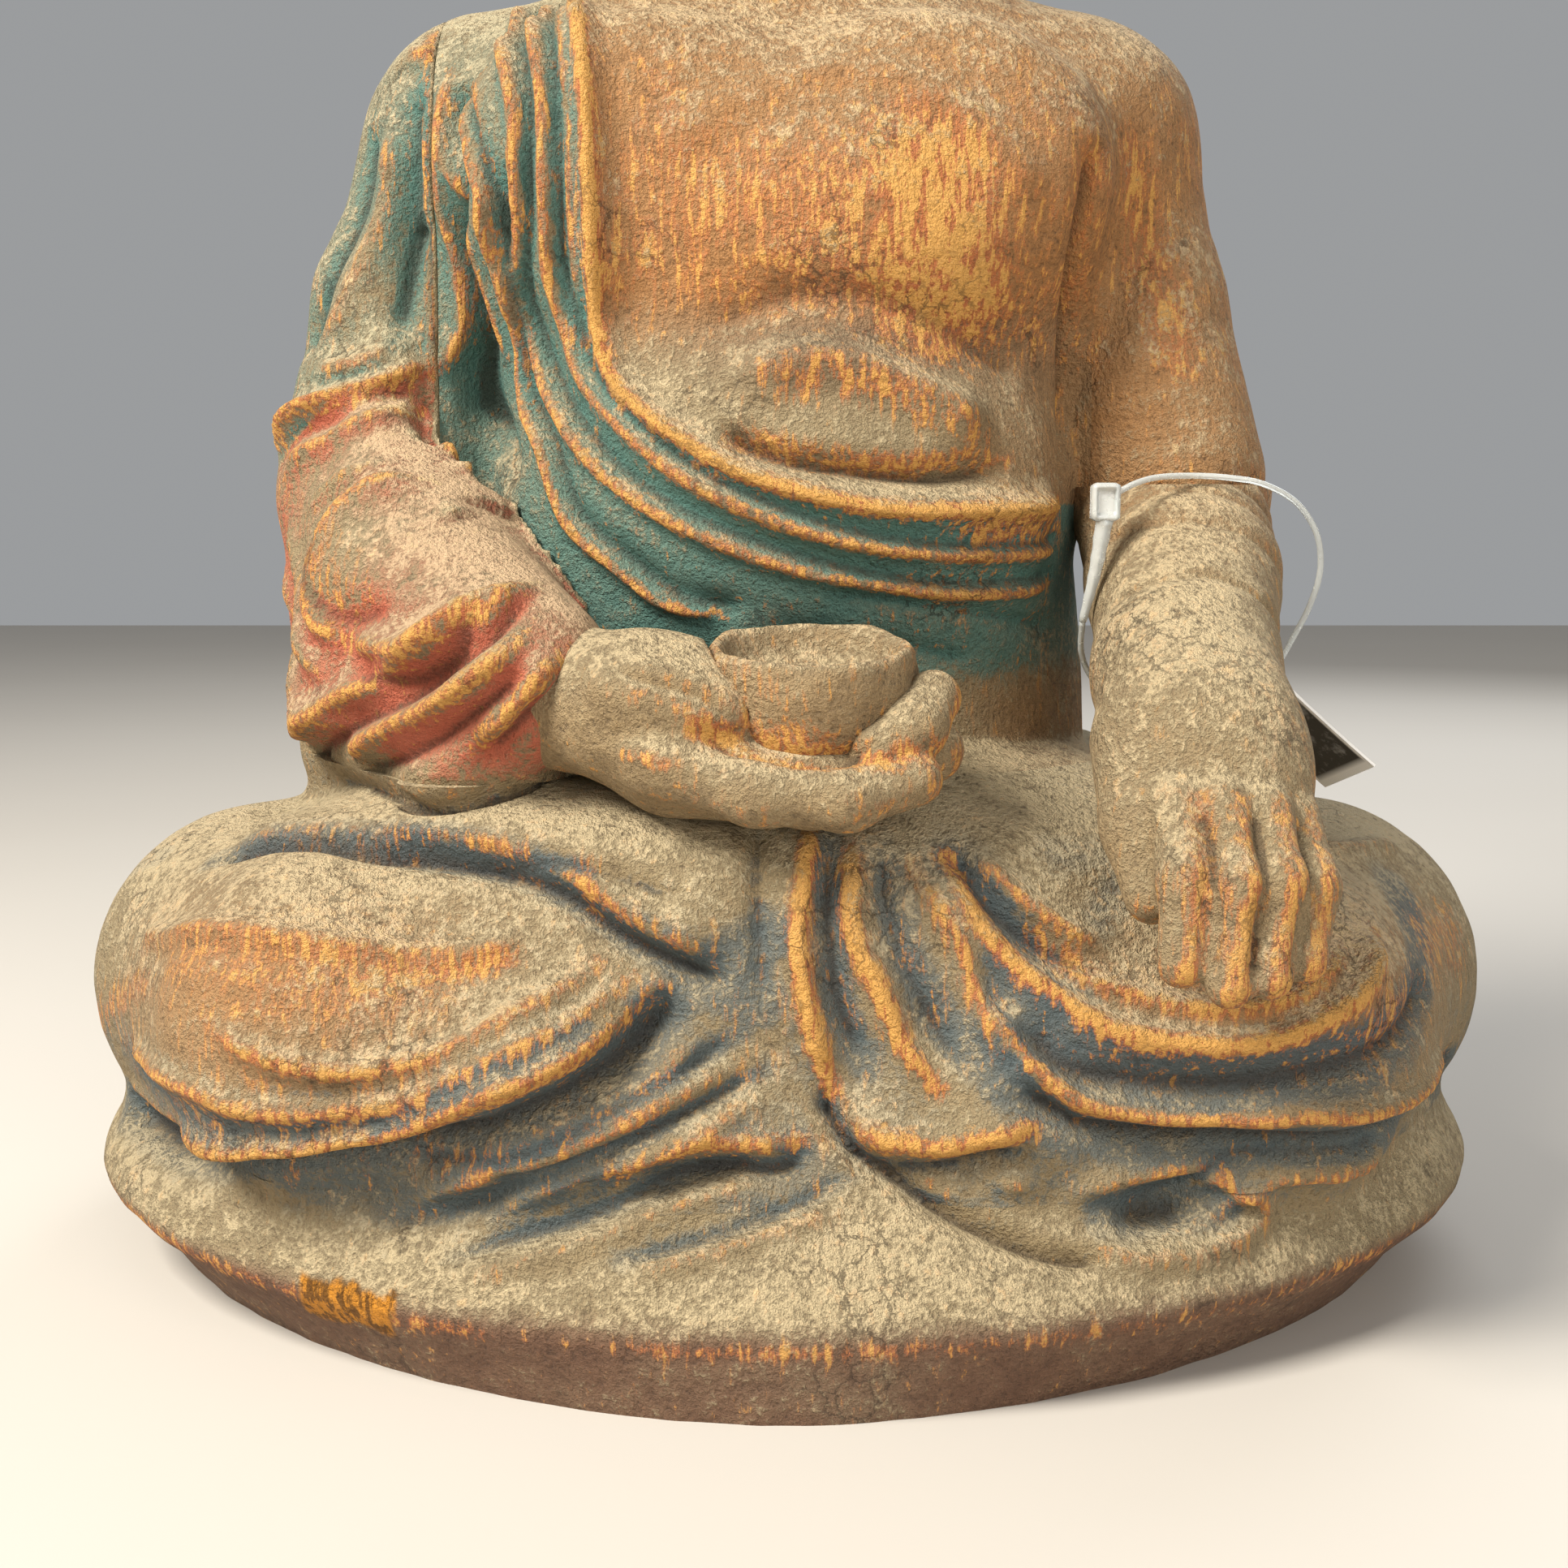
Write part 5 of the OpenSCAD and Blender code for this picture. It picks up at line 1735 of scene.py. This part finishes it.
class FIGURE_PG_carving(bpy.types.PropertyGroup):
    step: bpy.props.FloatProperty(
        name="Detail", description="Spacing of the clay's grid on the big blocks, in millimetres",
        default=0.85, min=0.5, max=3,
    )
    fine_step: bpy.props.FloatProperty(
        name="Fine detail", description="Spacing of the clay's grid on hands and head, in millimetres",
        default=0.6, min=0.4, max=2,
    )
    fold_depth: bpy.props.FloatProperty(
        name="Fold depth", description="How deep the folds are cut, 1 being as carved",
        subtype="FACTOR", default=1.0, min=0, max=2,
    )
    uneven: bpy.props.FloatProperty(
        name="Unevenness", description="Height of the knife's waves, in millimetres",
        default=0.35, min=0, max=1,
    )


class FIGURE_PG_paint(bpy.types.PropertyGroup):
    flesh: colour_setting("Flesh", "Old yellow coat on the chest, arms and head", "#b8824c")
    cloth: colour_setting("Cloth ground", "Faded ground of the lap", "#a5906a")
    # The rim's brown also paints the shade under the chest
    rim: colour_setting("Rim", "Brown of the base's rim", "#785340")
    dust: colour_setting("Dust", "Dust on what faces up", "#cfbb94")
    teal: colour_setting("Teal", "Robe's paint", "#4d7b72")
    slate: colour_setting("Slate", "Paint in the lap's folds", "#4a5c62")
    red: colour_setting("Red", "Lower sleeve's paint", "#bd5a42")
    bole: colour_setting("Bole", "Orange ground under the paint", "#b8683a")
    gold: colour_setting("Gold", "Bare wood and old gilding on the crests", "#dca555")
    # The crack's dark is also laid as painted shade in grooves, hollows and under the chest
    crack: colour_setting("Crack", "Dirt in cracks", "#43352a")
    fresh: colour_setting("Fresh wood", "Wood in a new chip", "#d08a2a")
    bare_wood: colour_setting("Peg wood", "Unpainted wood of the pegs", "#b98d58")
    paper: colour_setting("Paper", "Rolled sutra", "#d8c49a")
    silk: colour_setting("Silk", "Tie round the sutra", "#9a3a2c")
    card: colour_setting("Card", "Printed face of the tag", "#35322f")


def painted(name):
    """The blocks' finish under the name of its main coat, made once."""
    settings = bpy.context.scene.figure_paint
    coats = {key: tuple(getattr(settings, key)) for key in PAINT_COATS}
    return bpy.data.materials.get(name) or old_painted_wood(name, coats)


def body_clay():
    """The forms of the figure's body in one order, so that neighbouring blocks meet exactly."""
    return base_forms() + lap_forms() + torso_forms() + sleeve_forms() + left_arm_forms()[:1]


# The forearm's crease against the belly, where the sleeve's block ends: slanting across the front and down
CREASE_AT = (-59.0, -20.0)
CREASE_WAY = np.array([0.521, 0.853])


def in_front(x, y, z):
    """Below 0 on the sleeve's side of the crease, in front of the belly."""
    past = (x - CREASE_AT[0]) * CREASE_WAY[0] + (y - CREASE_AT[1]) * CREASE_WAY[1]
    return np.maximum(past, 0.8 * (z - 136.5 + 0.72 * (x + 45.0)))


def everywhere(distance):
    """A cut with no box of its own, from its distance function."""
    return Form((-200, -200, -50), (200, 200, 400), distance, 0.0, cut=True)


def stand_in(piece, node_name, body="figure"):
    """Puts a piece in the place of its solid, on its body."""
    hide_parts(node_name)
    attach(piece, body)
    return piece


# Hands and head are smoother from the knife than the big blocks
FINE_WAVES = 0.5


def carved_piece(
    name, finish, node_name, slot_name, forms, low, high, strokes, region, cuts,
    fine=False, body="figure", ease=1.0,
):
    """Carves one block, gives it its finish and puts it in the place of its solid."""
    settings = bpy.context.scene.figure_carving
    step, waves = (settings.fine_step, FINE_WAVES) if fine else (settings.step, 1.0)
    uneven = settings.uneven * waves
    mesh = carve(name, forms, low, high, step, strokes, region, cuts, uneven, settings.fold_depth, ease)
    return stand_in(new_object(name, mesh, painted(finish)), node_name, body)


def shell_piece(name, skin, material, node_name):
    """A piece on grids, with its finish, in the place of its solid."""
    points, faces = skin
    return stand_in(new_object(name, new_mesh(name, points, faces), material), node_name)


UP = (0, 0, 1)
DOWN = (0, 0, -1)


class FIGURE_OT_stage(bpy.types.Operator):
    """Sets up the floor, the soft lights and the camera"""

    bl_idname = "figure.stage"
    bl_label = "Stage"

    def execute(self, context):
        scene = context.scene
        lens = bpy.data.cameras.new("view")
        lens.sensor_width = 36.0
        lens.lens = 44.72
        lens.clip_start = 0.01
        camera = bpy.data.objects.new("view", lens)
        camera.location = (0.0, -0.356, 0.127)
        camera.rotation_euler = (math.radians(90 - 7.5), 0, 0)
        context.collection.objects.link(camera)
        scene.camera = camera
        middle = Vector((0, 0, 0.13))
        lights = [
            ("window", (-0.62, -0.48, 0.86), 0.42, 25.0, (1.0, 0.965, 0.90)),
            ("front", (0.45, -1.0, 0.40), 0.9, 8.0, (1.0, 0.97, 0.93)),
            ("behind", (0.5, 0.9, 0.8), 0.8, 7.0, (0.92, 0.96, 1.0)),
        ]
        for name, place, size, power, colour in lights:
            lamp = bpy.data.lights.new(name, "AREA")
            lamp.size = size
            lamp.energy = power
            lamp.color = colour
            holder = bpy.data.objects.new(name, lamp)
            holder.location = place
            holder.rotation_euler = (middle - Vector(place)).to_track_quat("-Z", "Y").to_euler()
            context.collection.objects.link(holder)
        world = bpy.data.worlds.new("soft_room")
        world.use_nodes = True
        world.node_tree.nodes["Background"].inputs["Color"].default_value = (0.86, 0.88, 0.90, 1.0)
        world.node_tree.nodes["Background"].inputs["Strength"].default_value = 0.38
        scene.world = world
        scene.view_settings.view_transform = "Standard"
        span = 2.2
        across = np.linspace(-span, span, 3)
        x, y = np.meshgrid(across, across, indexing="ij")
        points = np.stack([x, y, np.zeros_like(x)], axis=-1).reshape(-1, 3) / MM
        floor_mesh = new_mesh("floor", points, [[0, 3, 4, 1], [1, 4, 5, 2], [3, 6, 7, 4], [4, 7, 8, 5]])
        material, tree = new_material("PaleFloor")
        place = node(tree, "ShaderNodeTexCoord").outputs["Object"]
        cloud = node(tree, "ShaderNodeTexNoise", {"Vector": place, "Scale": 3.0})
        tone = node(
            tree, "ShaderNodeMix",
            {0: cloud.outputs["Fac"], 6: hex_colour("#b9b2a8"), 7: hex_colour("#c0bab1")}, data_type="RGBA",
        )
        surface = node(tree, "ShaderNodeBsdfPrincipled", {"Base Color": tone.outputs[2], "Roughness": 0.7})
        finish_material(tree, surface)
        floor = new_object("floor", floor_mesh, material)
        return {"FINISHED"}


class FIGURE_OT_tag(bpy.types.Operator):
    """Makes the shop tag: a nylon filament looped over the forearm, its lock and its card"""

    bl_idname = "figure.tag"
    bl_label = "Shop tag"

    def execute(self, context):
        nylon = clear_nylon("ClearMouldedNylon", hex_colour("#dfe2de"))
        dark = tuple(context.scene.figure_paint.card)
        card_stock = printed_card("PrintedCard", dark, hex_colour("#e9e6e0"))
        line = smooth_line(TAG_ROUTE, 0.7)
        loop = shell_piece("tag_filament", smooth_tube(line, TAG_CORD_R), nylon, "tag_loop")
        lock = shell_piece("tag_lock_moulded", lock_skin(), nylon, "tag_lock")
        points, faces, border = card_skin()
        mesh = new_mesh("tag_card", points, faces, smooth=False)
        layer = mesh.attributes.new("border", "FLOAT", "POINT")
        layer.data.foreach_set("value", border.astype(np.float32))
        card = stand_in(new_object("tag_card", mesh, card_stock), "price_tag", "card")
        return {"FINISHED"}


class FIGURE_OT_base(bpy.types.Operator):
    """Carves the base board"""

    bl_idname = "figure.base"
    bl_label = "Base board"

    def execute(self, context):
        carved_piece(
            "base_carving", "WornBrownPaint", "base_board", "worn_brown_paint", body_clay(),
            (-130, -99, -3), (130, 99, BASE_TOP + 3), LAP_STROKES + PAINT_STROKES, base_paint,
            [((0, 0, 0), DOWN), ((0, 0, BASE_TOP), UP)],
        )
        return {"FINISHED"}


class FIGURE_OT_lap(bpy.types.Operator):
    """Carves the crossed legs under their cloth"""

    bl_idname = "figure.lap"
    bl_label = "Lap"

    def execute(self, context):
        carved_piece(
            "lap_carving", "WornClothPaint", "lap_block", "worn_teal_paint", body_clay(),
            (-130, -99, BASE_TOP - 3), (130, 99, LAP_TOP + 3),
            LAP_STROKES + BODY_STROKES + PAINT_STROKES, lap_paint,
            [((0, 0, BASE_TOP), DOWN), ((0, 0, LAP_TOP), UP)],
        )
        return {"FINISHED"}


class FIGURE_OT_torso(bpy.types.Operator):
    """Carves the trunk with its chamber, and the panel that closes it"""

    bl_idname = "figure.torso"
    bl_label = "Torso and back panel"

    def execute(self, context):
        low, high = node_box("back_cover")
        gap = 0.4
        rebate = 4.0
        behind = 120.0
        deep = 38.2
        mouth = block(low - gap, (high[0] + gap, behind, high[2] + gap), cut=True)
        chamber = block(
            (low[0] - gap + rebate, low[1] - deep, low[2] - gap + rebate),
            (high[0] + gap - rebate, behind, high[2] + gap - rebate), cut=True,
        )
        forms = [
            *base_forms(), *lap_forms(), *torso_forms(), *sleeve_forms()[:1], *left_arm_forms()[:1],
            mouth, chamber,
        ]
        carved_piece(
            "torso_carving", "WornTealPaint", "torso", "worn_teal_paint", forms,
            (RIGHT_JOINT - 3, -60, LAP_TOP - 3), (LEFT_JOINT + 3, 66, NECK + 3),
            BODY_STROKES + PAINT_STROKES, robe_paint,
            [
                ((RIGHT_JOINT, 0, 0), (-1, 0, 0)), ((LEFT_JOINT, 0, 0), (1, 0, 0)), ((0, 0, LAP_TOP), DOWN),
                ((0, 0, NECK), UP),
            ],
        )
        sides = [
            ((low[0], 0, 0), (-1, 0, 0)), ((high[0], 0, 0), (1, 0, 0)), ((0, low[1], 0), (0, -1, 0)),
            ((0, 0, low[2]), DOWN), ((0, 0, high[2]), UP),
        ]
        carved_piece(
            "back_panel", "WornTealPaint", "back_cover", "worn_teal_paint", body_clay(),
            low - [3, 5, 3], high + [3, 9, 3], BODY_STROKES, robe_paint, sides, body="cover",
        )
        return {"FINISHED"}


class FIGURE_OT_sleeve(bpy.types.Operator):
    """Carves the sleeved right arm"""

    bl_idname = "figure.sleeve"
    bl_label = "Right sleeve"

    def execute(self, context):
        trunk = torso_forms()

        def kept(x, y, z):
            """Below 0 in this block: past the joint, or in front of the crease and off the trunk."""
            off_trunk = np.minimum.reduce([form.distance(x, y, z) for form in trunk])
            return np.minimum(x - RIGHT_JOINT, np.maximum(in_front(x, y, z), 1.8 - off_trunk))

        limit = everywhere(lambda x, y, z: -kept(x, y, z))
        carved_piece(
            "sleeve_carving", "WornRedPaint", "right_sleeve", "worn_red_paint", body_clay() + [limit],
            (-96, -80, LAP_TOP - 3), (-18, 46, 224), BODY_STROKES + SLEEVE_STROKES + PAINT_STROKES,
            sleeve_paint, [((0, 0, LAP_TOP), DOWN)], ease=4.0,
        )
        return {"FINISHED"}


class FIGURE_OT_left_arm(bpy.types.Operator):
    """Carves the bare left arm: the upper arm and the forearm"""

    bl_idname = "figure.left_arm"
    bl_label = "Left arm"

    def execute(self, context):
        carved_piece(
            "upper_arm_carving", "WornGildedWood", "left_upper_arm", "worn_gilt_wood", body_clay(),
            (LEFT_JOINT - 3, -40, ELBOW - 3), (98, 46, 224), BODY_STROKES + PAINT_STROKES, bare_skin,
            [((LEFT_JOINT, 0, 0), (-1, 0, 0)), ((0, 0, ELBOW), DOWN)],
        )
        carved_piece(
            "forearm_carving", "WornGildedWood", "left_forearm", "worn_gilt_wood",
            left_arm_forms() + left_hand_forms(),
            (42, -70, 84), (98, 22, ELBOW + 3), FOREARM_STROKES, bare_skin,
            [((0, 0, ELBOW), UP), (tuple(WRIST_CUT), tuple(FOREARM_WAY))], fine=True,
        )
        return {"FINISHED"}


class FIGURE_OT_hands(bpy.types.Operator):
    """Carves both hands"""

    bl_idname = "figure.hands"
    bl_label = "Hands"

    def execute(self, context):
        carved_piece(
            "knee_hand_carving", "WornGildedWood", "left_hand", "worn_gilt_wood",
            left_arm_forms() + left_hand_forms(),
            (40, -102, 54), (84, -40, 122), FOREARM_STROKES + HAND_STROKES, bare_skin,
            [(tuple(WRIST_CUT), tuple(-FOREARM_WAY))], fine=True,
        )
        x, y, z = BOWL_AT
        hollow = ((0.6, 9.6), (6, 14.4), (12, 15.6), (24, 15.8))
        seat = stack([[z + rise, x, y, r, r, 2] for rise, r in hollow], 0.4, True)
        carved_piece(
            "bowl_hand_carving", "WornGildedWood", "right_hand", "worn_gilt_wood",
            right_hand_forms() + [seat], (-58, -92, 76), (34, -40, 116), BOWL_HAND_STROKES, bare_skin, [],
            fine=True,
        )
        return {"FINISHED"}


class FIGURE_OT_bowl(bpy.types.Operator):
    """Turns the alms bowl"""

    bl_idname = "figure.bowl"
    bl_label = "Alms bowl"

    def execute(self, context):
        outline = smooth_line(
            [
                (9.0, 0.0), (10.6, 0.5), (13.2, 3.0), (15.2, 7.0), (16.0, 12.0), (15.7, 16.0), (15.0, 17.7),
                (14.2, 18.0), (13.3, 17.2), (11.8, 14.6), (9.0, 12.4), (5.0, 11.3), (0.8, 11.0),
            ],
            0.7,
        )
        outline = np.vstack([[(0.8, 0.0), (3.0, 0.0), (6.0, 0.0)], outline])
        points, faces = turned(outline, 96)
        away = points / (np.linalg.norm(points, axis=1, keepdims=True) + 1e-9)
        waves = 0.45 * lumps(points + 60, 4.6, 31) + 0.2 * lumps(points + 90, 2.2, 32)
        points = points + away * waves[:, None]
        tilt = np.array(Matrix.Rotation(math.radians(9), 3, "X"))
        points = (points - [0, 0, 9]) @ tilt.T + BOWL_AT + [0, 0, 9]
        mesh = new_mesh("bowl_carving", points, faces)
        x, y, z = (points - BOWL_AT).T
        edge = np.exp(-(((np.hypot(x, y) - 14.6) / 1.2) ** 2)) * ramp(z, 12, 16)
        give_colours(mesh, "paint", 0.0, 0.10, 0.0, 0.0)
        worn = 0.12 + 0.35 * edge + 0.35 * ramp(8 - z, 0, 5)
        # Painted shade inside the bowl's hollow
        painted_shade = 0.35 * ramp(12 - np.hypot(x, y), 0, 6) * (z > 9)
        give_colours(mesh, "carving", worn, painted_shade, 0.0, 0.2)
        bowl = new_object("bowl_carving", mesh, painted("DustyBowlPaint"))
        stand_in(bowl, "alms_bowl")
        return {"FINISHED"}


class FIGURE_OT_head(bpy.types.Operator):
    """Carves the head and sets its curls"""

    bl_idname = "figure.head"
    bl_label = "Head"

    def execute(self, context):
        forms = torso_forms() + head_forms()
        room = ((-40, -42, NECK - 3), (40, 46, CROWN + 2))
        carved_piece(
            "head_carving", "WornGildedWood", "head", "worn_gilt_wood", forms, *room,
            HEAD_STROKES, head_paint, [((0, 0, NECK), DOWN)], fine=True,
        )
        clay = Clay(forms, *room, step_of(1.2))
        points, faces = hair_curls(clay)
        mesh = new_mesh("hair_curls", points, faces)
        out = clay.read(points)
        give_colours(mesh, "paint", 0.0, 1.0, 0.0, 0.0)
        # The curls are rubbed on their crowns, and painted shade darkens their feet where they meet the
        # scalp
        give_colours(mesh, "carving", 0.40 * ramp(out, 1.8, 3.2), ramp(1.2 - out, 0, 1.2), 0.0, 0.0)
        curls = new_object("hair_curls", mesh, painted("WornSlatePaint"))
        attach(curls, "figure")
        return {"FINISHED"}


def lengthwise(mesh, points, place, way, across_mm, along_mm):
    """Stores each point's place along and across an axis, over the grain's width and length."""
    spin = np.array(Vector((0, 0, 1)).rotation_difference(Vector(way)).to_matrix())
    local = (np.asarray(points) - place) @ spin
    give_colours(mesh, "along", local[:, 0] / across_mm, local[:, 1] / across_mm, local[:, 2] / along_mm)


class FIGURE_OT_pegs(bpy.types.Operator):
    """Whittles the pegs that hold the blocks together"""

    bl_idname = "figure.pegs"
    bl_label = "Pegs"

    def execute(self, context):
        settings = context.scene.figure_paint
        light = tuple(settings.bare_wood)
        wood = plain_wood("WhittledPegWood", light, tuple(0.55 * c for c in light))
        base_low, base_high = node_box("base_pegs")
        torso_low, torso_high = node_box("torso_pegs")
        side_low, side_high = node_box("shoulder_pegs")
        row_y = 0.5 * (side_low[1] + side_high[1])
        sets = {
            "base_pegs": [
                ((x, y, BASE_TOP), UP, PEG_R)
                for x in (base_low[0] + PEG_R, base_high[0] - PEG_R)
                for y in (base_low[1] + PEG_R, base_high[1] - PEG_R)
            ],
            "torso_pegs": [
                ((x, 0.5 * (torso_low[1] + torso_high[1]), LAP_TOP), UP, PEG_R)
                for x in (torso_low[0] + PEG_R, torso_high[0] - PEG_R)
            ],
            "shoulder_pegs": [
                ((x, row_y, z), (1, 0, 0), PEG_R)
                for x in (RIGHT_JOINT, LEFT_JOINT) for z in (side_low[2] + PEG_R, side_high[2] - PEG_R)
            ],
            "arm_pegs": [(tuple(LEFT_ELBOW), UP, PEG_R), (tuple(WRIST_CUT), tuple(FOREARM_RUN), PEG_R)],
            "neck_peg": [((0, TORSO_Y, NECK), UP, NECK_PEG_R)],
            "bowl_peg": [(tuple(BOWL_AT), UP, BOWL_PEG_R)],
        }
        for name, places in sets.items():
            reach = 6.0 if name == "bowl_peg" else PEG_REACH
            points, faces = together([peg(place, way, radius, reach) for place, way, radius in places])
            mesh = new_mesh("whittled_" + name, points, faces)
            lengthwise(mesh, points, np.array(places[0][0]), places[0][1], 0.7, 9.0)
            stand_in(new_object("whittled_" + name, mesh, wood), name)
        return {"FINISHED"}


class FIGURE_OT_scroll(bpy.types.Operator):
    """Rolls the sutra and ties it"""

    bl_idname = "figure.scroll"
    bl_label = "Rolled sutra"

    def execute(self, context):
        settings = context.scene.figure_paint
        low, high = node_box("sutra_scroll")
        radius = 0.5 * (high[0] - low[0])
        axis = np.array([0.5 * (low[0] + high[0]), 0.5 * (low[1] + high[1]), low[2]])
        sheet = tuple(settings.paper)
        paper = aged_paper("MulberryPaper", sheet, tuple(0.6 * c for c in sheet))
        roll = scroll_skin(axis, radius, high[2] - low[2])
        shell_piece("rolled_sutra", roll, paper, "sutra_scroll")
        tie_low, tie_high = node_box("scroll_tie")
        level = 0.5 * (tie_low[2] + tie_high[2])
        silk = silk_cord("TwistedSilk", tuple(settings.silk))
        angle = np.linspace(0, 2 * np.pi, 90)
        wraps = []
        for shift in (-0.7, 0.6):
            ring = np.stack([np.cos(angle), np.sin(angle)], axis=1) * (radius + 0.6)
            line = np.column_stack([ring + axis[:2], level + shift + 0.1 * np.sin(angle)])
            wraps.append(twisted_cord(line, 0.62))
        knot = axis + [0, radius + 1.0, level - axis[2]]
        for side in (-1, 1):
            bow = [[0, 0, 0], [3.2, 0.9, 1.6], [3.6, 0.8, -1.0], [0.4, 0.4, -0.2]]
            tail = [[0, 0, 0], [1.2, 0.8, -2.6], [2.0, 0.2, -6.0]]
            for strand in (bow, tail):
                wraps.append(twisted_cord(smooth_line(knot + np.array(strand) * [side, 1, 1], 0.3), 0.42))
        points, faces = together(wraps)
        mesh = new_mesh("silk_bow", points, faces)
        lengthwise(mesh, points, axis, (0, 0, 1), 0.5, 0.5)
        stand_in(new_object("silk_bow", mesh, silk), "scroll_tie")
        return {"FINISHED"}


OPERATORS = (
    FIGURE_OT_stage, FIGURE_OT_tag, FIGURE_OT_base, FIGURE_OT_lap, FIGURE_OT_torso, FIGURE_OT_sleeve,
    FIGURE_OT_left_arm, FIGURE_OT_hands, FIGURE_OT_bowl, FIGURE_OT_head, FIGURE_OT_pegs, FIGURE_OT_scroll,
)


class FIGURE_PT_panel(bpy.types.Panel):
    """Lists the figure's pieces and settings"""

    bl_label = "Carved figure"
    bl_idname = "FIGURE_PT_panel"
    bl_space_type = "VIEW_3D"
    bl_region_type = "UI"
    bl_category = "Figure"

    def draw(self, context):
        layout = self.layout
        for group in (context.scene.figure_carving, context.scene.figure_paint):
            column = layout.column(align=True)
            for name in group.bl_rna.properties.keys():
                if name not in ("rna_type", "name"):
                    column.prop(group, name)
        for operator in OPERATORS:
            layout.operator(operator.bl_idname)


CLASSES = (FIGURE_PG_carving, FIGURE_PG_paint, *OPERATORS, FIGURE_PT_panel)


def register():
    for kind in CLASSES:
        bpy.utils.register_class(kind)
    bpy.types.Scene.figure_carving = bpy.props.PointerProperty(type=FIGURE_PG_carving)
    bpy.types.Scene.figure_paint = bpy.props.PointerProperty(type=FIGURE_PG_paint)


def unregister():
    del bpy.types.Scene.figure_paint
    del bpy.types.Scene.figure_carving
    for kind in reversed(CLASSES):
        bpy.utils.unregister_class(kind)


def main():
    register()
    for operator in OPERATORS:
        group, name = operator.bl_idname.split(".")
        getattr(getattr(bpy.ops, group), name)()


if __name__ == "__main__":
    main()
